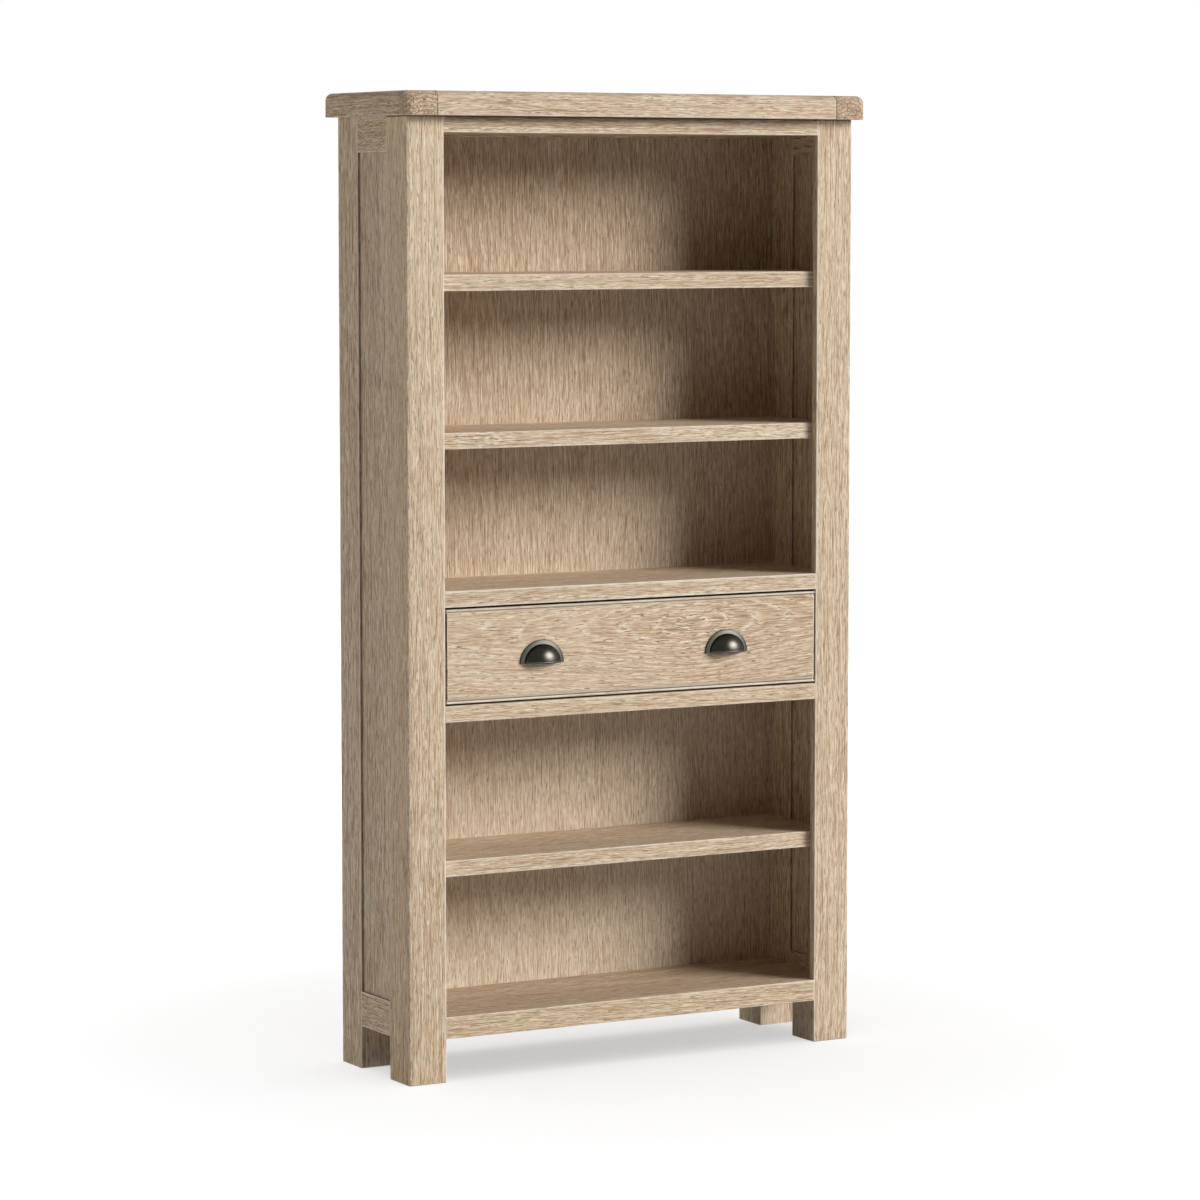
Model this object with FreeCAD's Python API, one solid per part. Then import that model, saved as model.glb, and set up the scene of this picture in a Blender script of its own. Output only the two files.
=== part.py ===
import FreeCAD, Part
import os

# Tall oak bookcase with one drawer. Millimetres, +Z up, front towards -Y.
# The origin lies on the floor under the middle of the top board.

# Driving dimensions: the case
overall_height = 1800.0
case_width = 944.0
case_depth = 275.0

# Driving dimensions: the top board
top_thickness = 44.0
top_side_overhang = 18.0
top_front_overhang = 26.0
top_back_overhang = 15.0
cleat_width = 70.0
top_edge_radius = 14.0
top_corner_radius = 22.0
tongue_thickness = 12.0
tongue_length = 20.0
tongue_end_margin = 45.0
tongue_end_play = 2.0

# Driving dimensions: posts, stiles and side rails
frame_thickness = 16.0
post_face_width = 76.5
post_side_width = 78.0
post_arris_radius = 3.0
rear_stile_width = 80.0
rear_stile_inner_lip = 10.0
side_rail_height = 65.0
side_panel_thickness = 5.0
side_panel_recess = 5.5
panel_groove_depth = 9.0
panel_edge_play = 1.0
foot_height = 80.0

# Driving dimensions: fixed boards and front rails
board_thickness = 30.0
deck_thickness = 18.0
bottom_board_thickness = 22.0
bottom_rail_height = 40.5
drawer_opening_height = 179.5
back_rail_thickness = 16.0

# Driving dimensions: clear heights of the bays; the bay over the drawer takes what is left
top_bay_height = 254.5
second_bay_height = 255.5
fourth_bay_height = 255.5
bottom_bay_height = 255.0

# Driving dimensions: loose shelves
shelf_end_play = 1.0
shelf_front_play = 1.0
shelf_back_play = 1.0

# Driving dimensions: back panel
back_panel_thickness = 6.0
back_panel_setback = 6.0
back_rebate_width = 8.0
back_panel_play = 0.5

# Driving dimensions: drawer
drawer_gap = 1.8
drawer_end_gap = 2.0
bead_end_gap = 1.0
bead_height = 6.0
bead_arris_radius = 1.2
drawer_front_thickness = 20.0
drawer_side_thickness = 12.0
drawer_side_height = 150.0
drawer_back_thickness = 12.0
drawer_back_drop = 6.0
drawer_bottom_thickness = 5.0
drawer_bottom_lift = 10.0
drawer_bottom_tongue = 5.5
drawer_groove_play = 0.5
drawer_housing_depth = 4.0
drawer_back_room = 16.0
running_clearance = 0.3
tail_count = 4
tail_spacing = 33.0
tail_base_width = 16.0
tail_end_width = 22.0
tail_length = 12.0
tail_start = 15.0

# Driving dimensions: drawer guides, kickers and stops
guide_width = 18.0
guide_height = 25.0
kicker_width = 24.0
kicker_clearance = 1.0
stop_width = 40.0
stop_height = 16.0
stop_spacing = 500.0
kicker_setback = 12.0

# Driving dimensions: cup pulls
pull_spacing = 394.0
pull_width = 91.0
pull_height = 43.0
pull_flange_width = 8.0
pull_flange_thickness = 2.0
pull_projection = 23.0
pull_wall = 1.8
pull_base_height = 70.0
pull_screw_spacing = 54.0
pull_screw_lift = 9.0
pull_boss_diameter = 7.5

# Driving dimensions: small fixings
fit_clearance = 0.05
trim_margin = 1.0
dowel_diameter = 8.0
dowel_depth_in_wall = 9.0
dowel_depth_in_board = 22.0
dowel_post_inset = 47.0
pin_diameter = 5.0
pin_depth = 9.0
pin_tongue_length = 10.0
pin_tongue_width = 10.0
pin_tongue_thickness = 3.0
top_screw_diameter = 4.5
top_screw_depth = 15.0
top_screw_head_diameter = 9.0
top_screw_head_height = 3.0
top_screw_columns = 3
top_screw_spacing = 360.0
top_screw_front_inset = 40.0
nail_diameter = 2.0
nail_depth = 12.0
nail_head_diameter = 4.0
nail_head_height = 0.8
nail_columns = 5
nail_spacing = 200.0
pull_screw_diameter = 4.0
pull_screw_grip = 6.0
pull_screw_head_diameter = 8.0
pull_screw_head_height = 2.2
bottom_screw_diameter = 3.0
bottom_screw_depth = 12.0
bottom_screw_head_diameter = 6.0
bottom_screw_head_height = 1.5
bottom_screw_columns = 3
bottom_screw_spacing = 260.0

# Levels and planes worked out from the sizes above
case_top = overall_height - top_thickness
half_width = case_width / 2
top_half_width = half_width + top_side_overhang
overall_depth = top_front_overhang + case_depth + top_back_overhang
top_front = -overall_depth / 2
top_back = overall_depth / 2
front = top_front + top_front_overhang
rear = front + case_depth
behind_face = front + frame_thickness
wall = half_width - frame_thickness
opening_half = half_width - post_face_width
post_back = front + post_side_width
rear_stile_front = rear - rear_stile_width
back_face = rear - back_panel_setback - back_panel_thickness
groove_outer = half_width - side_panel_recess
groove_inner = groove_outer - side_panel_thickness
panel_seat = panel_groove_depth - panel_edge_play
bottom_top = foot_height + bottom_rail_height
low_shelf_underside = bottom_top + bottom_bay_height
deck_rail_bottom = low_shelf_underside + board_thickness + fourth_bay_height
opening_bottom = deck_rail_bottom + board_thickness
opening_top = opening_bottom + drawer_opening_height
cover_board_top = opening_top + board_thickness
under_top = case_top - board_thickness
top_shelf_underside = under_top - top_bay_height - board_thickness
middle_shelf_underside = top_shelf_underside - second_bay_height - board_thickness
front_dowel_y = front + dowel_post_inset
rear_dowel_y = rear - dowel_post_inset

# Planes of the drawer
drawer_half = opening_half - drawer_end_gap
drawer_inner = drawer_half - drawer_side_thickness
drawer_front_back = front + drawer_front_thickness
drawer_rear = back_face - drawer_back_room
drawer_low = opening_bottom + running_clearance
drawer_side_top = drawer_low + drawer_side_height
bead_low = opening_bottom + drawer_gap
field_low = bead_low + bead_height
field_high = opening_top - drawer_gap - bead_height
drawer_floor_low = drawer_low + drawer_bottom_lift
drawer_floor_top = drawer_floor_low + drawer_bottom_thickness
drawer_back_top = drawer_side_top - drawer_back_drop
pull_base = opening_bottom + pull_base_height


def block(x0, x1, y0, y1, z0, z1):
    """A rectangular solid between two corners, given in any order."""
    low = FreeCAD.Vector(min(x0, x1), min(y0, y1), min(z0, z1))
    return Part.makeBox(abs(x1 - x0), abs(y1 - y0), abs(z1 - z0), low)


def rod(diameter, start, direction, length):
    """A round bar from a start point along a direction."""
    return Part.makeCylinder(diameter / 2, length, FreeCAD.Vector(*start), FreeCAD.Vector(*direction))


def hole(diameter, start, direction, length):
    """A round hole that takes a bar of this diameter with the fit clearance."""
    return rod(diameter + 2 * fit_clearance, start, direction, length)


def extent(shape):
    """The corners of a shape's box, from its faces alone."""
    box = shape.optimalBoundingBox(False)
    return box.XMin, box.YMin, box.ZMin, box.XMax, box.YMax, box.ZMax


def near(a, b):
    """True where two lengths are the same to a thousandth."""
    return abs(a - b) < 0.001


def export(name, shapes):
    """Write one node, a single solid or a group of separate solids."""
    solids = [solid for shape in shapes for solid in shape.Solids]
    out = solids[0] if len(solids) == 1 else Part.makeCompound(solids)
    assert out.isValid(), name
    out.exportStep("parts/" + name + ".step")
    print(name, len(solids), round(out.Volume / 1000.0, 1), "cm3")


# Top board: a field between two end cleats

def top_blank():
    """The whole top before it is split: rounded front corners and rounded upper edges."""
    blank = block(-top_half_width, top_half_width, top_front, top_back, case_top, overall_height)
    corners = []
    for edge in blank.Edges:
        x0, y0, z0, x1, y1, z1 = extent(edge)
        if near(y0, top_front) and near(y1, top_front) and near(x0, x1):
            corners.append(edge)
    blank = blank.makeFillet(top_corner_radius, corners)
    upper = []
    for edge in blank.Edges:
        x0, y0, z0, x1, y1, z1 = extent(edge)
        on_top = near(z0, overall_height) and near(z1, overall_height)
        along_back = near(y0, top_back) and near(y1, top_back)
        if on_top and not along_back:
            upper.append(edge)
    return blank.makeFillet(top_edge_radius, upper)


def tongue(side, grow):
    """The blind tongue between field and cleat, grown by the given play at its ends."""
    joint = top_half_width - cleat_width
    middle = (case_top + overall_height) / 2
    y0 = top_front + tongue_end_margin - grow
    y1 = top_back - tongue_end_margin + grow
    z0 = middle - tongue_thickness / 2
    z1 = middle + tongue_thickness / 2
    return block(side * joint, side * (joint + tongue_length + grow), y0, y1, z0, z1)


def top_field(blank):
    joint = top_half_width - cleat_width
    field = blank.common(block(-joint, joint, top_front, top_back, case_top, overall_height))
    field = field.fuse([tongue(-1, 0), tongue(1, 0)])
    return field.cut(top_screw_holes())


def top_cleat(blank, side):
    joint = top_half_width - cleat_width
    share = block(side * joint, side * top_half_width, top_front, top_back, case_top, overall_height)
    cleat = blank.common(share)
    return cleat.cut(tongue(side, tongue_end_play))


# Side frames: posts, stiles, rails and panels

def wall_slab(side, x_in, x_out, y0, y1, z0, z1):
    """A block in one side wall; x runs outwards from the middle of the case."""
    return block(side * x_in, side * x_out, y0, y1, z0, z1)


def wall_holes(side, y, levels, diameter, depth):
    """Blind holes from the inner face of a side wall, at the given heights."""
    return [hole(diameter, (side * wall, y, z), (side, 0, 0), depth) for z in levels]


def front_post(side):
    """An L-shaped post from floor to top: a face leg and a side leg with the panel groove."""
    face = wall_slab(side, opening_half, half_width, front, behind_face, 0, case_top)
    leg = wall_slab(side, wall, half_width, front, post_back, 0, case_top)
    post = face.fuse(leg).removeSplitter()
    corner = []
    for edge in post.Edges:
        x0, y0, z0, x1, y1, z1 = extent(edge)
        upright = near(x0, x1) and near(y0, y1)
        if upright and near(y0, front) and near(abs(x0), half_width):
            corner.append(edge)
    post = post.makeFillet(post_arris_radius, corner)
    groove_start = post_back - panel_groove_depth
    groove = wall_slab(side, groove_inner, groove_outer, groove_start, post_back, foot_height, case_top)
    dowels = wall_holes(side, front_dowel_y, dowel_levels(), dowel_diameter, dowel_depth_in_wall)
    pins = wall_holes(side, front_dowel_y, pin_levels(), pin_diameter, pin_depth)
    return post.cut([groove] + dowels + pins)


def rear_stile(side):
    """The rear stile, with the panel groove, a wider inner lip and the rebate for the back panel."""
    stile = wall_slab(side, wall, half_width, rear_stile_front, rear, 0, case_top)
    lip_front = rear_stile_front - rear_stile_inner_lip
    lip = wall_slab(side, wall, groove_inner, lip_front, rear_stile_front, foot_height, case_top)
    stile = stile.fuse(lip).removeSplitter()
    groove_end = rear_stile_front + panel_groove_depth
    groove = wall_slab(side, groove_inner, groove_outer, rear_stile_front, groove_end, foot_height, case_top)
    rebate = wall_slab(side, wall, wall + back_rebate_width, back_face, rear, foot_height, case_top)
    dowels = wall_holes(side, rear_dowel_y, dowel_levels(), dowel_diameter, dowel_depth_in_wall)
    pins = wall_holes(side, rear_dowel_y, pin_levels(), pin_diameter, pin_depth)
    return stile.cut([groove, rebate] + dowels + pins)


def side_rail(side, z0, z1, groove_z, tenon_z):
    """A rail between post and rear stile, with stub tenons and a groove for the panel."""
    rail = wall_slab(side, wall, half_width, post_back, rear_stile_front, z0, z1)
    lip_front = rear_stile_front - rear_stile_inner_lip
    notch = wall_slab(side, wall, groove_inner, lip_front, rear_stile_front, z0, z1)
    groove = wall_slab(side, groove_inner, groove_outer, post_back, rear_stile_front, *groove_z)
    tenons = []
    for y0, y1 in ((post_back - panel_seat, post_back), (rear_stile_front, rear_stile_front + panel_seat)):
        tenons.append(wall_slab(side, groove_inner, groove_outer, y0, y1, *tenon_z))
    return rail.cut([notch, groove]).fuse(tenons).removeSplitter()


def side_top_rail(side):
    low = case_top - side_rail_height
    inner = low + panel_groove_depth
    return side_rail(side, low, case_top, (low, inner), (inner, case_top))


def side_bottom_rail(side):
    high = foot_height + side_rail_height
    inner = high - panel_groove_depth
    return side_rail(side, foot_height, high, (inner, high), (foot_height, inner))


def side_panel(side):
    low = foot_height + side_rail_height - panel_seat
    high = case_top - side_rail_height + panel_seat
    y0 = post_back - panel_seat
    y1 = rear_stile_front + panel_seat
    return wall_slab(side, groove_inner, groove_outer, y0, y1, low, high)


def front_foot_block(side):
    """The block that fills the L of a front post under the bottom board."""
    high = bottom_top - bottom_board_thickness
    return wall_slab(side, opening_half, wall, behind_face, post_back, 0, high)


def rear_foot_block(side):
    """The block beside a rear stile under the bottom board, notched for the back panel."""
    high = bottom_top - bottom_board_thickness
    foot = wall_slab(side, opening_half, wall, rear_stile_front, rear, 0, high)
    return foot.cut(wall_slab(side, opening_half, wall, back_face, rear, foot_height, high))


# Fixed boards and front rails

def board_levels():
    """The underside and top of each board that is dowelled between the side walls."""
    return {
        "bottom": (bottom_top - bottom_board_thickness, bottom_top),
        "deck": (opening_bottom - deck_thickness, opening_bottom),
        "cover": (opening_top, cover_board_top),
        "under_top": (under_top, case_top),
    }


def dowel_levels():
    return [(low + high) / 2 for low, high in board_levels().values()]


def shelf_levels():
    return {
        "top_shelf": top_shelf_underside,
        "middle_shelf": middle_shelf_underside,
        "low_shelf": low_shelf_underside,
    }


def pin_levels():
    return [level - pin_diameter / 2 for level in shelf_levels().values()]


def fixed_board(level):
    """A board from wall to wall, behind the face legs of the posts, with dowel holes in its ends."""
    low, high = board_levels()[level]
    middle = (low + high) / 2
    board = block(-wall, wall, behind_face, back_face, low, high)
    holes = []
    for side in (-1, 1):
        for y in (front_dowel_y, rear_dowel_y):
            holes.append(hole(dowel_diameter, (side * wall, y, middle), (-side, 0, 0), dowel_depth_in_board))
    for x in nail_places():
        holes.append(hole(nail_diameter, (x, back_face, middle), (0, -1, 0), nail_depth))
    return board.cut(holes)


def cover_board():
    """The board above the drawer, whose front edge comes forward between the posts."""
    low, high = board_levels()["cover"]
    nose = block(-opening_half, opening_half, front, behind_face, low, high)
    return fixed_board("cover").fuse(nose).removeSplitter()


def under_top_board():
    return fixed_board("under_top").cut(top_screw_holes())


def front_rail(low, high):
    """A rail flush with the posts, on the front edge of the board behind it."""
    return block(-opening_half, opening_half, front, behind_face, low, high)


def bottom_back_rail():
    high = bottom_top - bottom_board_thickness
    return block(-opening_half, opening_half, back_face - back_rail_thickness, back_face, foot_height, high)


# Loose shelves on pins

def shelf(underside):
    half = wall - shelf_end_play
    y0 = behind_face + shelf_front_play
    y1 = back_face - shelf_back_play
    return block(-half, half, y0, y1, underside, underside + board_thickness)


def shelf_pins():
    """Four supports for each shelf: a round shank in the wall and a flat tongue under the shelf."""
    pins = []
    for underside in shelf_levels().values():
        for side in (-1, 1):
            for y in (front_dowel_y, rear_dowel_y):
                axis_z = underside - pin_diameter / 2
                shank = rod(pin_diameter, (side * (wall - pin_tongue_length), y, axis_z), (side, 0, 0),
                            pin_tongue_length + pin_depth)
                y0 = y - pin_tongue_width / 2
                plate = block(side * (wall - pin_tongue_length), side * wall, y0, y0 + pin_tongue_width,
                              underside - pin_tongue_thickness, underside)
                pins.append(shank.fuse(plate).removeSplitter())
    return pins


# Back panel

def back_panel():
    half = wall + back_rebate_width - back_panel_play
    panel = block(-half, half, back_face, back_face + back_panel_thickness, foot_height, case_top)
    holes = []
    for z in dowel_levels():
        for x in nail_places():
            holes.append(hole(nail_diameter, (x, back_face, z), (0, 1, 0), back_panel_thickness))
    return panel.cut(holes)


# Drawer

def tail_outlines():
    """The side view of each dovetail: narrow at the drawer side's end, wide inside the front."""
    tails = []
    for k in range(tail_count):
        middle = field_low + tail_start + tail_base_width / 2 + k * tail_spacing
        points = [
            (drawer_front_back, middle - tail_base_width / 2),
            (drawer_front_back - tail_length, middle - tail_end_width / 2),
            (drawer_front_back - tail_length, middle + tail_end_width / 2),
            (drawer_front_back, middle + tail_base_width / 2),
        ]
        tails.append(points)
    return tails


def tails(side):
    """The dovetails of one drawer side, as prisms through the side's thickness."""
    solids = []
    for points in tail_outlines():
        x = min(side * drawer_inner, side * drawer_half)
        corners = [FreeCAD.Vector(x, y, z) for y, z in points]
        face = Part.Face(Part.makePolygon(corners + corners[:1]))
        solids.append(face.extrude(FreeCAD.Vector(drawer_side_thickness, 0, 0)))
    return solids


def drawer_front():
    """The drawer front between its two beads, with dovetail sockets, the floor groove and screw holes."""
    field = block(-drawer_half, drawer_half, front, drawer_front_back, field_low, field_high)
    reach = drawer_inner + drawer_bottom_tongue + drawer_groove_play
    groove_front = drawer_front_back - drawer_bottom_tongue - drawer_groove_play
    groove = block(-reach, reach, groove_front, drawer_front_back, drawer_floor_low, drawer_floor_top)
    screws = [hole(pull_screw_diameter, (x, front, z), (0, 1, 0), drawer_front_thickness)
              for x, z in pull_screw_places()]
    return field.cut(tails(-1) + tails(1) + [groove] + screws)


def drawer_bead(low):
    """A strip along the upper or lower edge of the drawer front, with softened front arrises."""
    half = opening_half - bead_end_gap
    bead = block(-half, half, front, drawer_front_back, low, low + bead_height)
    arrises = []
    for edge in bead.Edges:
        x0, y0, z0, x1, y1, z1 = extent(edge)
        if near(y0, front) and near(y1, front) and near(z0, z1):
            arrises.append(edge)
    return bead.makeFillet(bead_arris_radius, arrises)


def drawer_side(side):
    panel = block(side * drawer_inner, side * drawer_half, drawer_front_back, drawer_rear,
                  drawer_low, drawer_side_top)
    panel = panel.fuse(tails(side)).removeSplitter()
    groove_end = drawer_inner + drawer_bottom_tongue + drawer_groove_play
    groove = block(side * drawer_inner, side * groove_end, drawer_front_back, drawer_rear,
                   drawer_floor_low, drawer_floor_top)
    housing = block(side * drawer_inner, side * (drawer_inner + drawer_housing_depth),
                    drawer_rear - drawer_back_thickness, drawer_rear, drawer_floor_top, drawer_back_top)
    return panel.cut([groove, housing])


def drawer_back():
    half = drawer_inner + drawer_housing_depth
    inside = drawer_rear - drawer_back_thickness
    back = block(-half, half, inside, drawer_rear, drawer_floor_top, drawer_back_top)
    holes = [hole(bottom_screw_diameter, (x, y, drawer_floor_top), (0, 0, 1), bottom_screw_depth)
             for x, y in bottom_screw_places()]
    return back.cut(holes)


def drawer_bottom():
    half = drawer_inner + drawer_bottom_tongue
    board = block(-half, half, drawer_front_back - drawer_bottom_tongue, drawer_rear,
                  drawer_floor_low, drawer_floor_top)
    holes = [hole(bottom_screw_diameter, (x, y, drawer_floor_low), (0, 0, 1), drawer_bottom_thickness)
             for x, y in bottom_screw_places()]
    return board.cut(holes)


# What guides the drawer in the case

def drawer_guide(side):
    """A strip on the deck beside the drawer, in line with the edge of the post."""
    return block(side * opening_half, side * (opening_half + guide_width), behind_face,
                 drawer_rear, opening_bottom, opening_bottom + guide_height)


def drawer_kicker(side):
    """A strip under the cover board that keeps the drawer from tipping when it is out."""
    middle = (drawer_inner + drawer_half) / 2
    start = drawer_front_back + kicker_setback
    return block(side * (middle - kicker_width / 2), side * (middle + kicker_width / 2),
                 start, drawer_rear, drawer_side_top + kicker_clearance, opening_top)


def drawer_stops():
    """Two blocks on the deck that the drawer's floor meets when it is shut."""
    stops = []
    for side in (-1, 1):
        middle = side * stop_spacing / 2
        stops.append(block(middle - stop_width / 2, middle + stop_width / 2, drawer_rear + running_clearance,
                           back_face, opening_bottom, opening_bottom + stop_height))
    return stops


# Cup pulls

def ellipse_arch(half_width_x, height, y0, thickness):
    """An upright half ellipse, flat side down, from the plane y0 towards the front."""
    disc = Part.makeCylinder(1.0, thickness, FreeCAD.Vector(0, y0, 0), FreeCAD.Vector(0, -1, 0))
    stretch = FreeCAD.Matrix()
    stretch.scale(half_width_x, 1.0, height)
    disc = disc.transformGeometry(stretch)
    upper = block(-half_width_x - trim_margin, half_width_x + trim_margin,
                  y0 + trim_margin, y0 - thickness - trim_margin, 0, height + trim_margin)
    return disc.common(upper)


def ellipsoid(a, b, c):
    """A solid ellipsoid about the origin with half axes a, b, c."""
    stretch = FreeCAD.Matrix()
    stretch.scale(a, b, c)
    return Part.makeSphere(1.0).transformGeometry(stretch)


def quarter_ellipsoid(a, b, c):
    """The quarter of an ellipsoid in front of the drawer and above its open lower edge."""
    quarter = block(-a - trim_margin, a + trim_margin, -b - trim_margin, 0, 0, c + trim_margin)
    return ellipsoid(a, b, c).common(quarter)


def cup_pull(side):
    """A cup pull: a flat arch against the drawer front, a bowl open below, two screw bosses."""
    bowl_half = pull_width / 2 - pull_flange_width
    bowl_height = pull_height - pull_flange_width
    inner = ellipsoid(bowl_half - pull_wall, pull_projection - pull_wall, bowl_height - pull_wall)
    arch = ellipse_arch(pull_width / 2, pull_height, 0, pull_flange_thickness)
    shell = quarter_ellipsoid(bowl_half, pull_projection, bowl_height).fuse(arch).cut(inner)
    within = pull_wall / 2
    core = quarter_ellipsoid(bowl_half - within, pull_projection - within, bowl_height - within)
    for end in (-1, 1):
        x = end * pull_screw_spacing / 2
        boss = rod(pull_boss_diameter, (x, 0, pull_screw_lift), (0, -1, 0), pull_projection)
        shell = shell.fuse(boss.common(core))
    for end in (-1, 1):
        x = end * pull_screw_spacing / 2
        shell = shell.cut(hole(pull_screw_diameter, (x, 0, pull_screw_lift), (0, -1, 0), pull_screw_grip))
    shell.translate(FreeCAD.Vector(side * pull_spacing / 2, front, pull_base))
    return shell


def pull_screw_places():
    places = []
    for side in (-1, 1):
        for end in (-1, 1):
            x = side * pull_spacing / 2 + end * pull_screw_spacing / 2
            places.append((x, pull_base + pull_screw_lift))
    return places


def pull_screws():
    """Screws from inside the drawer, through its front and into the bosses of the pulls."""
    screws = []
    for x, z in pull_screw_places():
        shank = rod(pull_screw_diameter, (x, drawer_front_back, z), (0, -1, 0),
                    drawer_front_thickness + pull_screw_grip)
        head = rod(pull_screw_head_diameter, (x, drawer_front_back, z), (0, 1, 0), pull_screw_head_height)
        screws.append(shank.fuse(head))
    return screws


# Fixings

def case_dowels():
    """Dowels between the side walls and the ends of the four fixed boards."""
    dowels = []
    for z in dowel_levels():
        for side in (-1, 1):
            for y in (front_dowel_y, rear_dowel_y):
                start = side * (wall - dowel_depth_in_board)
                dowels.append(rod(dowel_diameter, (start, y, z), (side, 0, 0),
                                  dowel_depth_in_board + dowel_depth_in_wall))
    return dowels


def top_screw_places():
    places = []
    first = -(top_screw_columns - 1) / 2 * top_screw_spacing
    for k in range(top_screw_columns):
        x = first + k * top_screw_spacing
        for y in (behind_face + top_screw_front_inset, back_face - top_screw_front_inset):
            places.append((x, y))
    return places


def top_screw_holes():
    holes = []
    for x, y in top_screw_places():
        start = (x, y, under_top)
        holes.append(hole(top_screw_diameter, start, (0, 0, 1), board_thickness + top_screw_depth))
        holes.append(hole(top_screw_head_diameter, start, (0, 0, 1), top_screw_head_height))
    return holes


def top_screws():
    """Screws up through the board under the top into the top's field."""
    screws = []
    for x, y in top_screw_places():
        shank = rod(top_screw_diameter, (x, y, under_top), (0, 0, 1), board_thickness + top_screw_depth)
        head = rod(top_screw_head_diameter, (x, y, under_top), (0, 0, 1), top_screw_head_height)
        screws.append(shank.fuse(head))
    return screws


def nail_places():
    first = -(nail_columns - 1) / 2 * nail_spacing
    return [first + k * nail_spacing for k in range(nail_columns)]


def back_nails():
    """Nails through the back panel into the rear edges of the four fixed boards."""
    nails = []
    outside = back_face + back_panel_thickness
    for z in dowel_levels():
        for x in nail_places():
            shank = rod(nail_diameter, (x, outside, z), (0, -1, 0), back_panel_thickness + nail_depth)
            head = rod(nail_head_diameter, (x, outside, z), (0, 1, 0), nail_head_height)
            nails.append(shank.fuse(head))
    return nails


def bottom_screw_places():
    y = drawer_rear - drawer_back_thickness / 2
    first = -(bottom_screw_columns - 1) / 2 * bottom_screw_spacing
    return [(first + k * bottom_screw_spacing, y) for k in range(bottom_screw_columns)]


def drawer_bottom_screws():
    """Screws up through the drawer's floor into its back."""
    screws = []
    for x, y in bottom_screw_places():
        shank = rod(bottom_screw_diameter, (x, y, drawer_floor_low), (0, 0, 1),
                    drawer_bottom_thickness + bottom_screw_depth)
        head = rod(bottom_screw_head_diameter, (x, y, drawer_floor_low), (0, 0, -1), bottom_screw_head_height)
        screws.append(shank.fuse(head))
    return screws


os.makedirs("parts", exist_ok=True)
blank = top_blank()
export("top_field", [top_field(blank)])
for side, word in ((-1, "left"), (1, "right")):
    export("top_cleat_" + word, [top_cleat(blank, side)])
    export("front_post_" + word, [front_post(side)])
    export("rear_stile_" + word, [rear_stile(side)])
    export("side_top_rail_" + word, [side_top_rail(side)])
    export("side_bottom_rail_" + word, [side_bottom_rail(side)])
    export("side_panel_" + word, [side_panel(side)])
    export("front_foot_block_" + word, [front_foot_block(side)])
    export("rear_foot_block_" + word, [rear_foot_block(side)])
    export("drawer_side_" + word, [drawer_side(side)])
    export("drawer_guide_" + word, [drawer_guide(side)])
    export("drawer_kicker_" + word, [drawer_kicker(side)])
    export("cup_pull_" + word, [cup_pull(side)])
export("under_top_board", [under_top_board()])
export("top_front_rail", [front_rail(under_top, case_top)])
export("cover_board", [cover_board()])
export("drawer_deck", [fixed_board("deck")])
export("drawer_front_rail", [front_rail(deck_rail_bottom, opening_bottom)])
export("bottom_board", [fixed_board("bottom")])
export("bottom_front_rail", [front_rail(foot_height, bottom_top)])
export("bottom_back_rail", [bottom_back_rail()])
for name, underside in shelf_levels().items():
    export(name, [shelf(underside)])
export("back_panel", [back_panel()])
export("drawer_front", [drawer_front()])
export("drawer_bead_upper", [drawer_bead(field_high)])
export("drawer_bead_lower", [drawer_bead(bead_low)])
export("drawer_back", [drawer_back()])
export("drawer_bottom", [drawer_bottom()])
export("drawer_stops", drawer_stops())
export("shelf_pins", shelf_pins())
export("case_dowels", case_dowels())
export("top_screws", top_screws())
export("back_nails", back_nails())
export("pull_screws", pull_screws())
export("drawer_bottom_screws", drawer_bottom_screws())
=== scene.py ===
import math
import bpy
import numpy as np
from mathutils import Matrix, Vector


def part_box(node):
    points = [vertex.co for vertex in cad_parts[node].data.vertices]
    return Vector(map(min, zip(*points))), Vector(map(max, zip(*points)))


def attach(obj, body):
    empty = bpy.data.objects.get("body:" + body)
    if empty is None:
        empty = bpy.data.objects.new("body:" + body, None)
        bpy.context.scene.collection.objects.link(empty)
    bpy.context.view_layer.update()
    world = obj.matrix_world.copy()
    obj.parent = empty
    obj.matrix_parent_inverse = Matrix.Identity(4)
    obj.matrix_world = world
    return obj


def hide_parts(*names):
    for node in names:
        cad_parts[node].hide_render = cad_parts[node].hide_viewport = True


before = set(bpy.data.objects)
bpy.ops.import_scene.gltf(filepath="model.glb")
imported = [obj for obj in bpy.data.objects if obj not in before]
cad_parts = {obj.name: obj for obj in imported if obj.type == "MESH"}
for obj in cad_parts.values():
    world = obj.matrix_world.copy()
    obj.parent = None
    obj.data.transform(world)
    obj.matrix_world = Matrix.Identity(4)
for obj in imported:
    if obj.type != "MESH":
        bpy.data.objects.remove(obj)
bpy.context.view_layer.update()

MM = 0.001
SIDES = ((-1, "left"), (1, "right"))
AXIS_NUMBER = {"x": 0, "y": 1, "z": 2}


# Camera and light

IMAGE_SIDE = 1200
SENSOR_WIDTH = 36.0
LENS_PIXELS = 4374.4
CAMERA_PLACE = (-4.0238, -7.1261, 1.6042)
CAMERA_YAW = 29.453
CAMERA_PITCH = -5.217


def set_camera():
    """One camera at the photograph's side of the case, without a lens shift."""
    lens = bpy.data.cameras.new("camera")
    lens.sensor_width = SENSOR_WIDTH
    lens.lens = LENS_PIXELS / IMAGE_SIDE * SENSOR_WIDTH
    camera = bpy.data.objects.new("camera", lens)
    camera.location = CAMERA_PLACE
    camera.rotation_euler = (math.radians(90 + CAMERA_PITCH), 0, math.radians(-CAMERA_YAW))
    bpy.context.collection.objects.link(camera)
    bpy.context.scene.camera = camera


LIGHT_TARGET = np.array([0.0, 0.0, 0.9])
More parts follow.
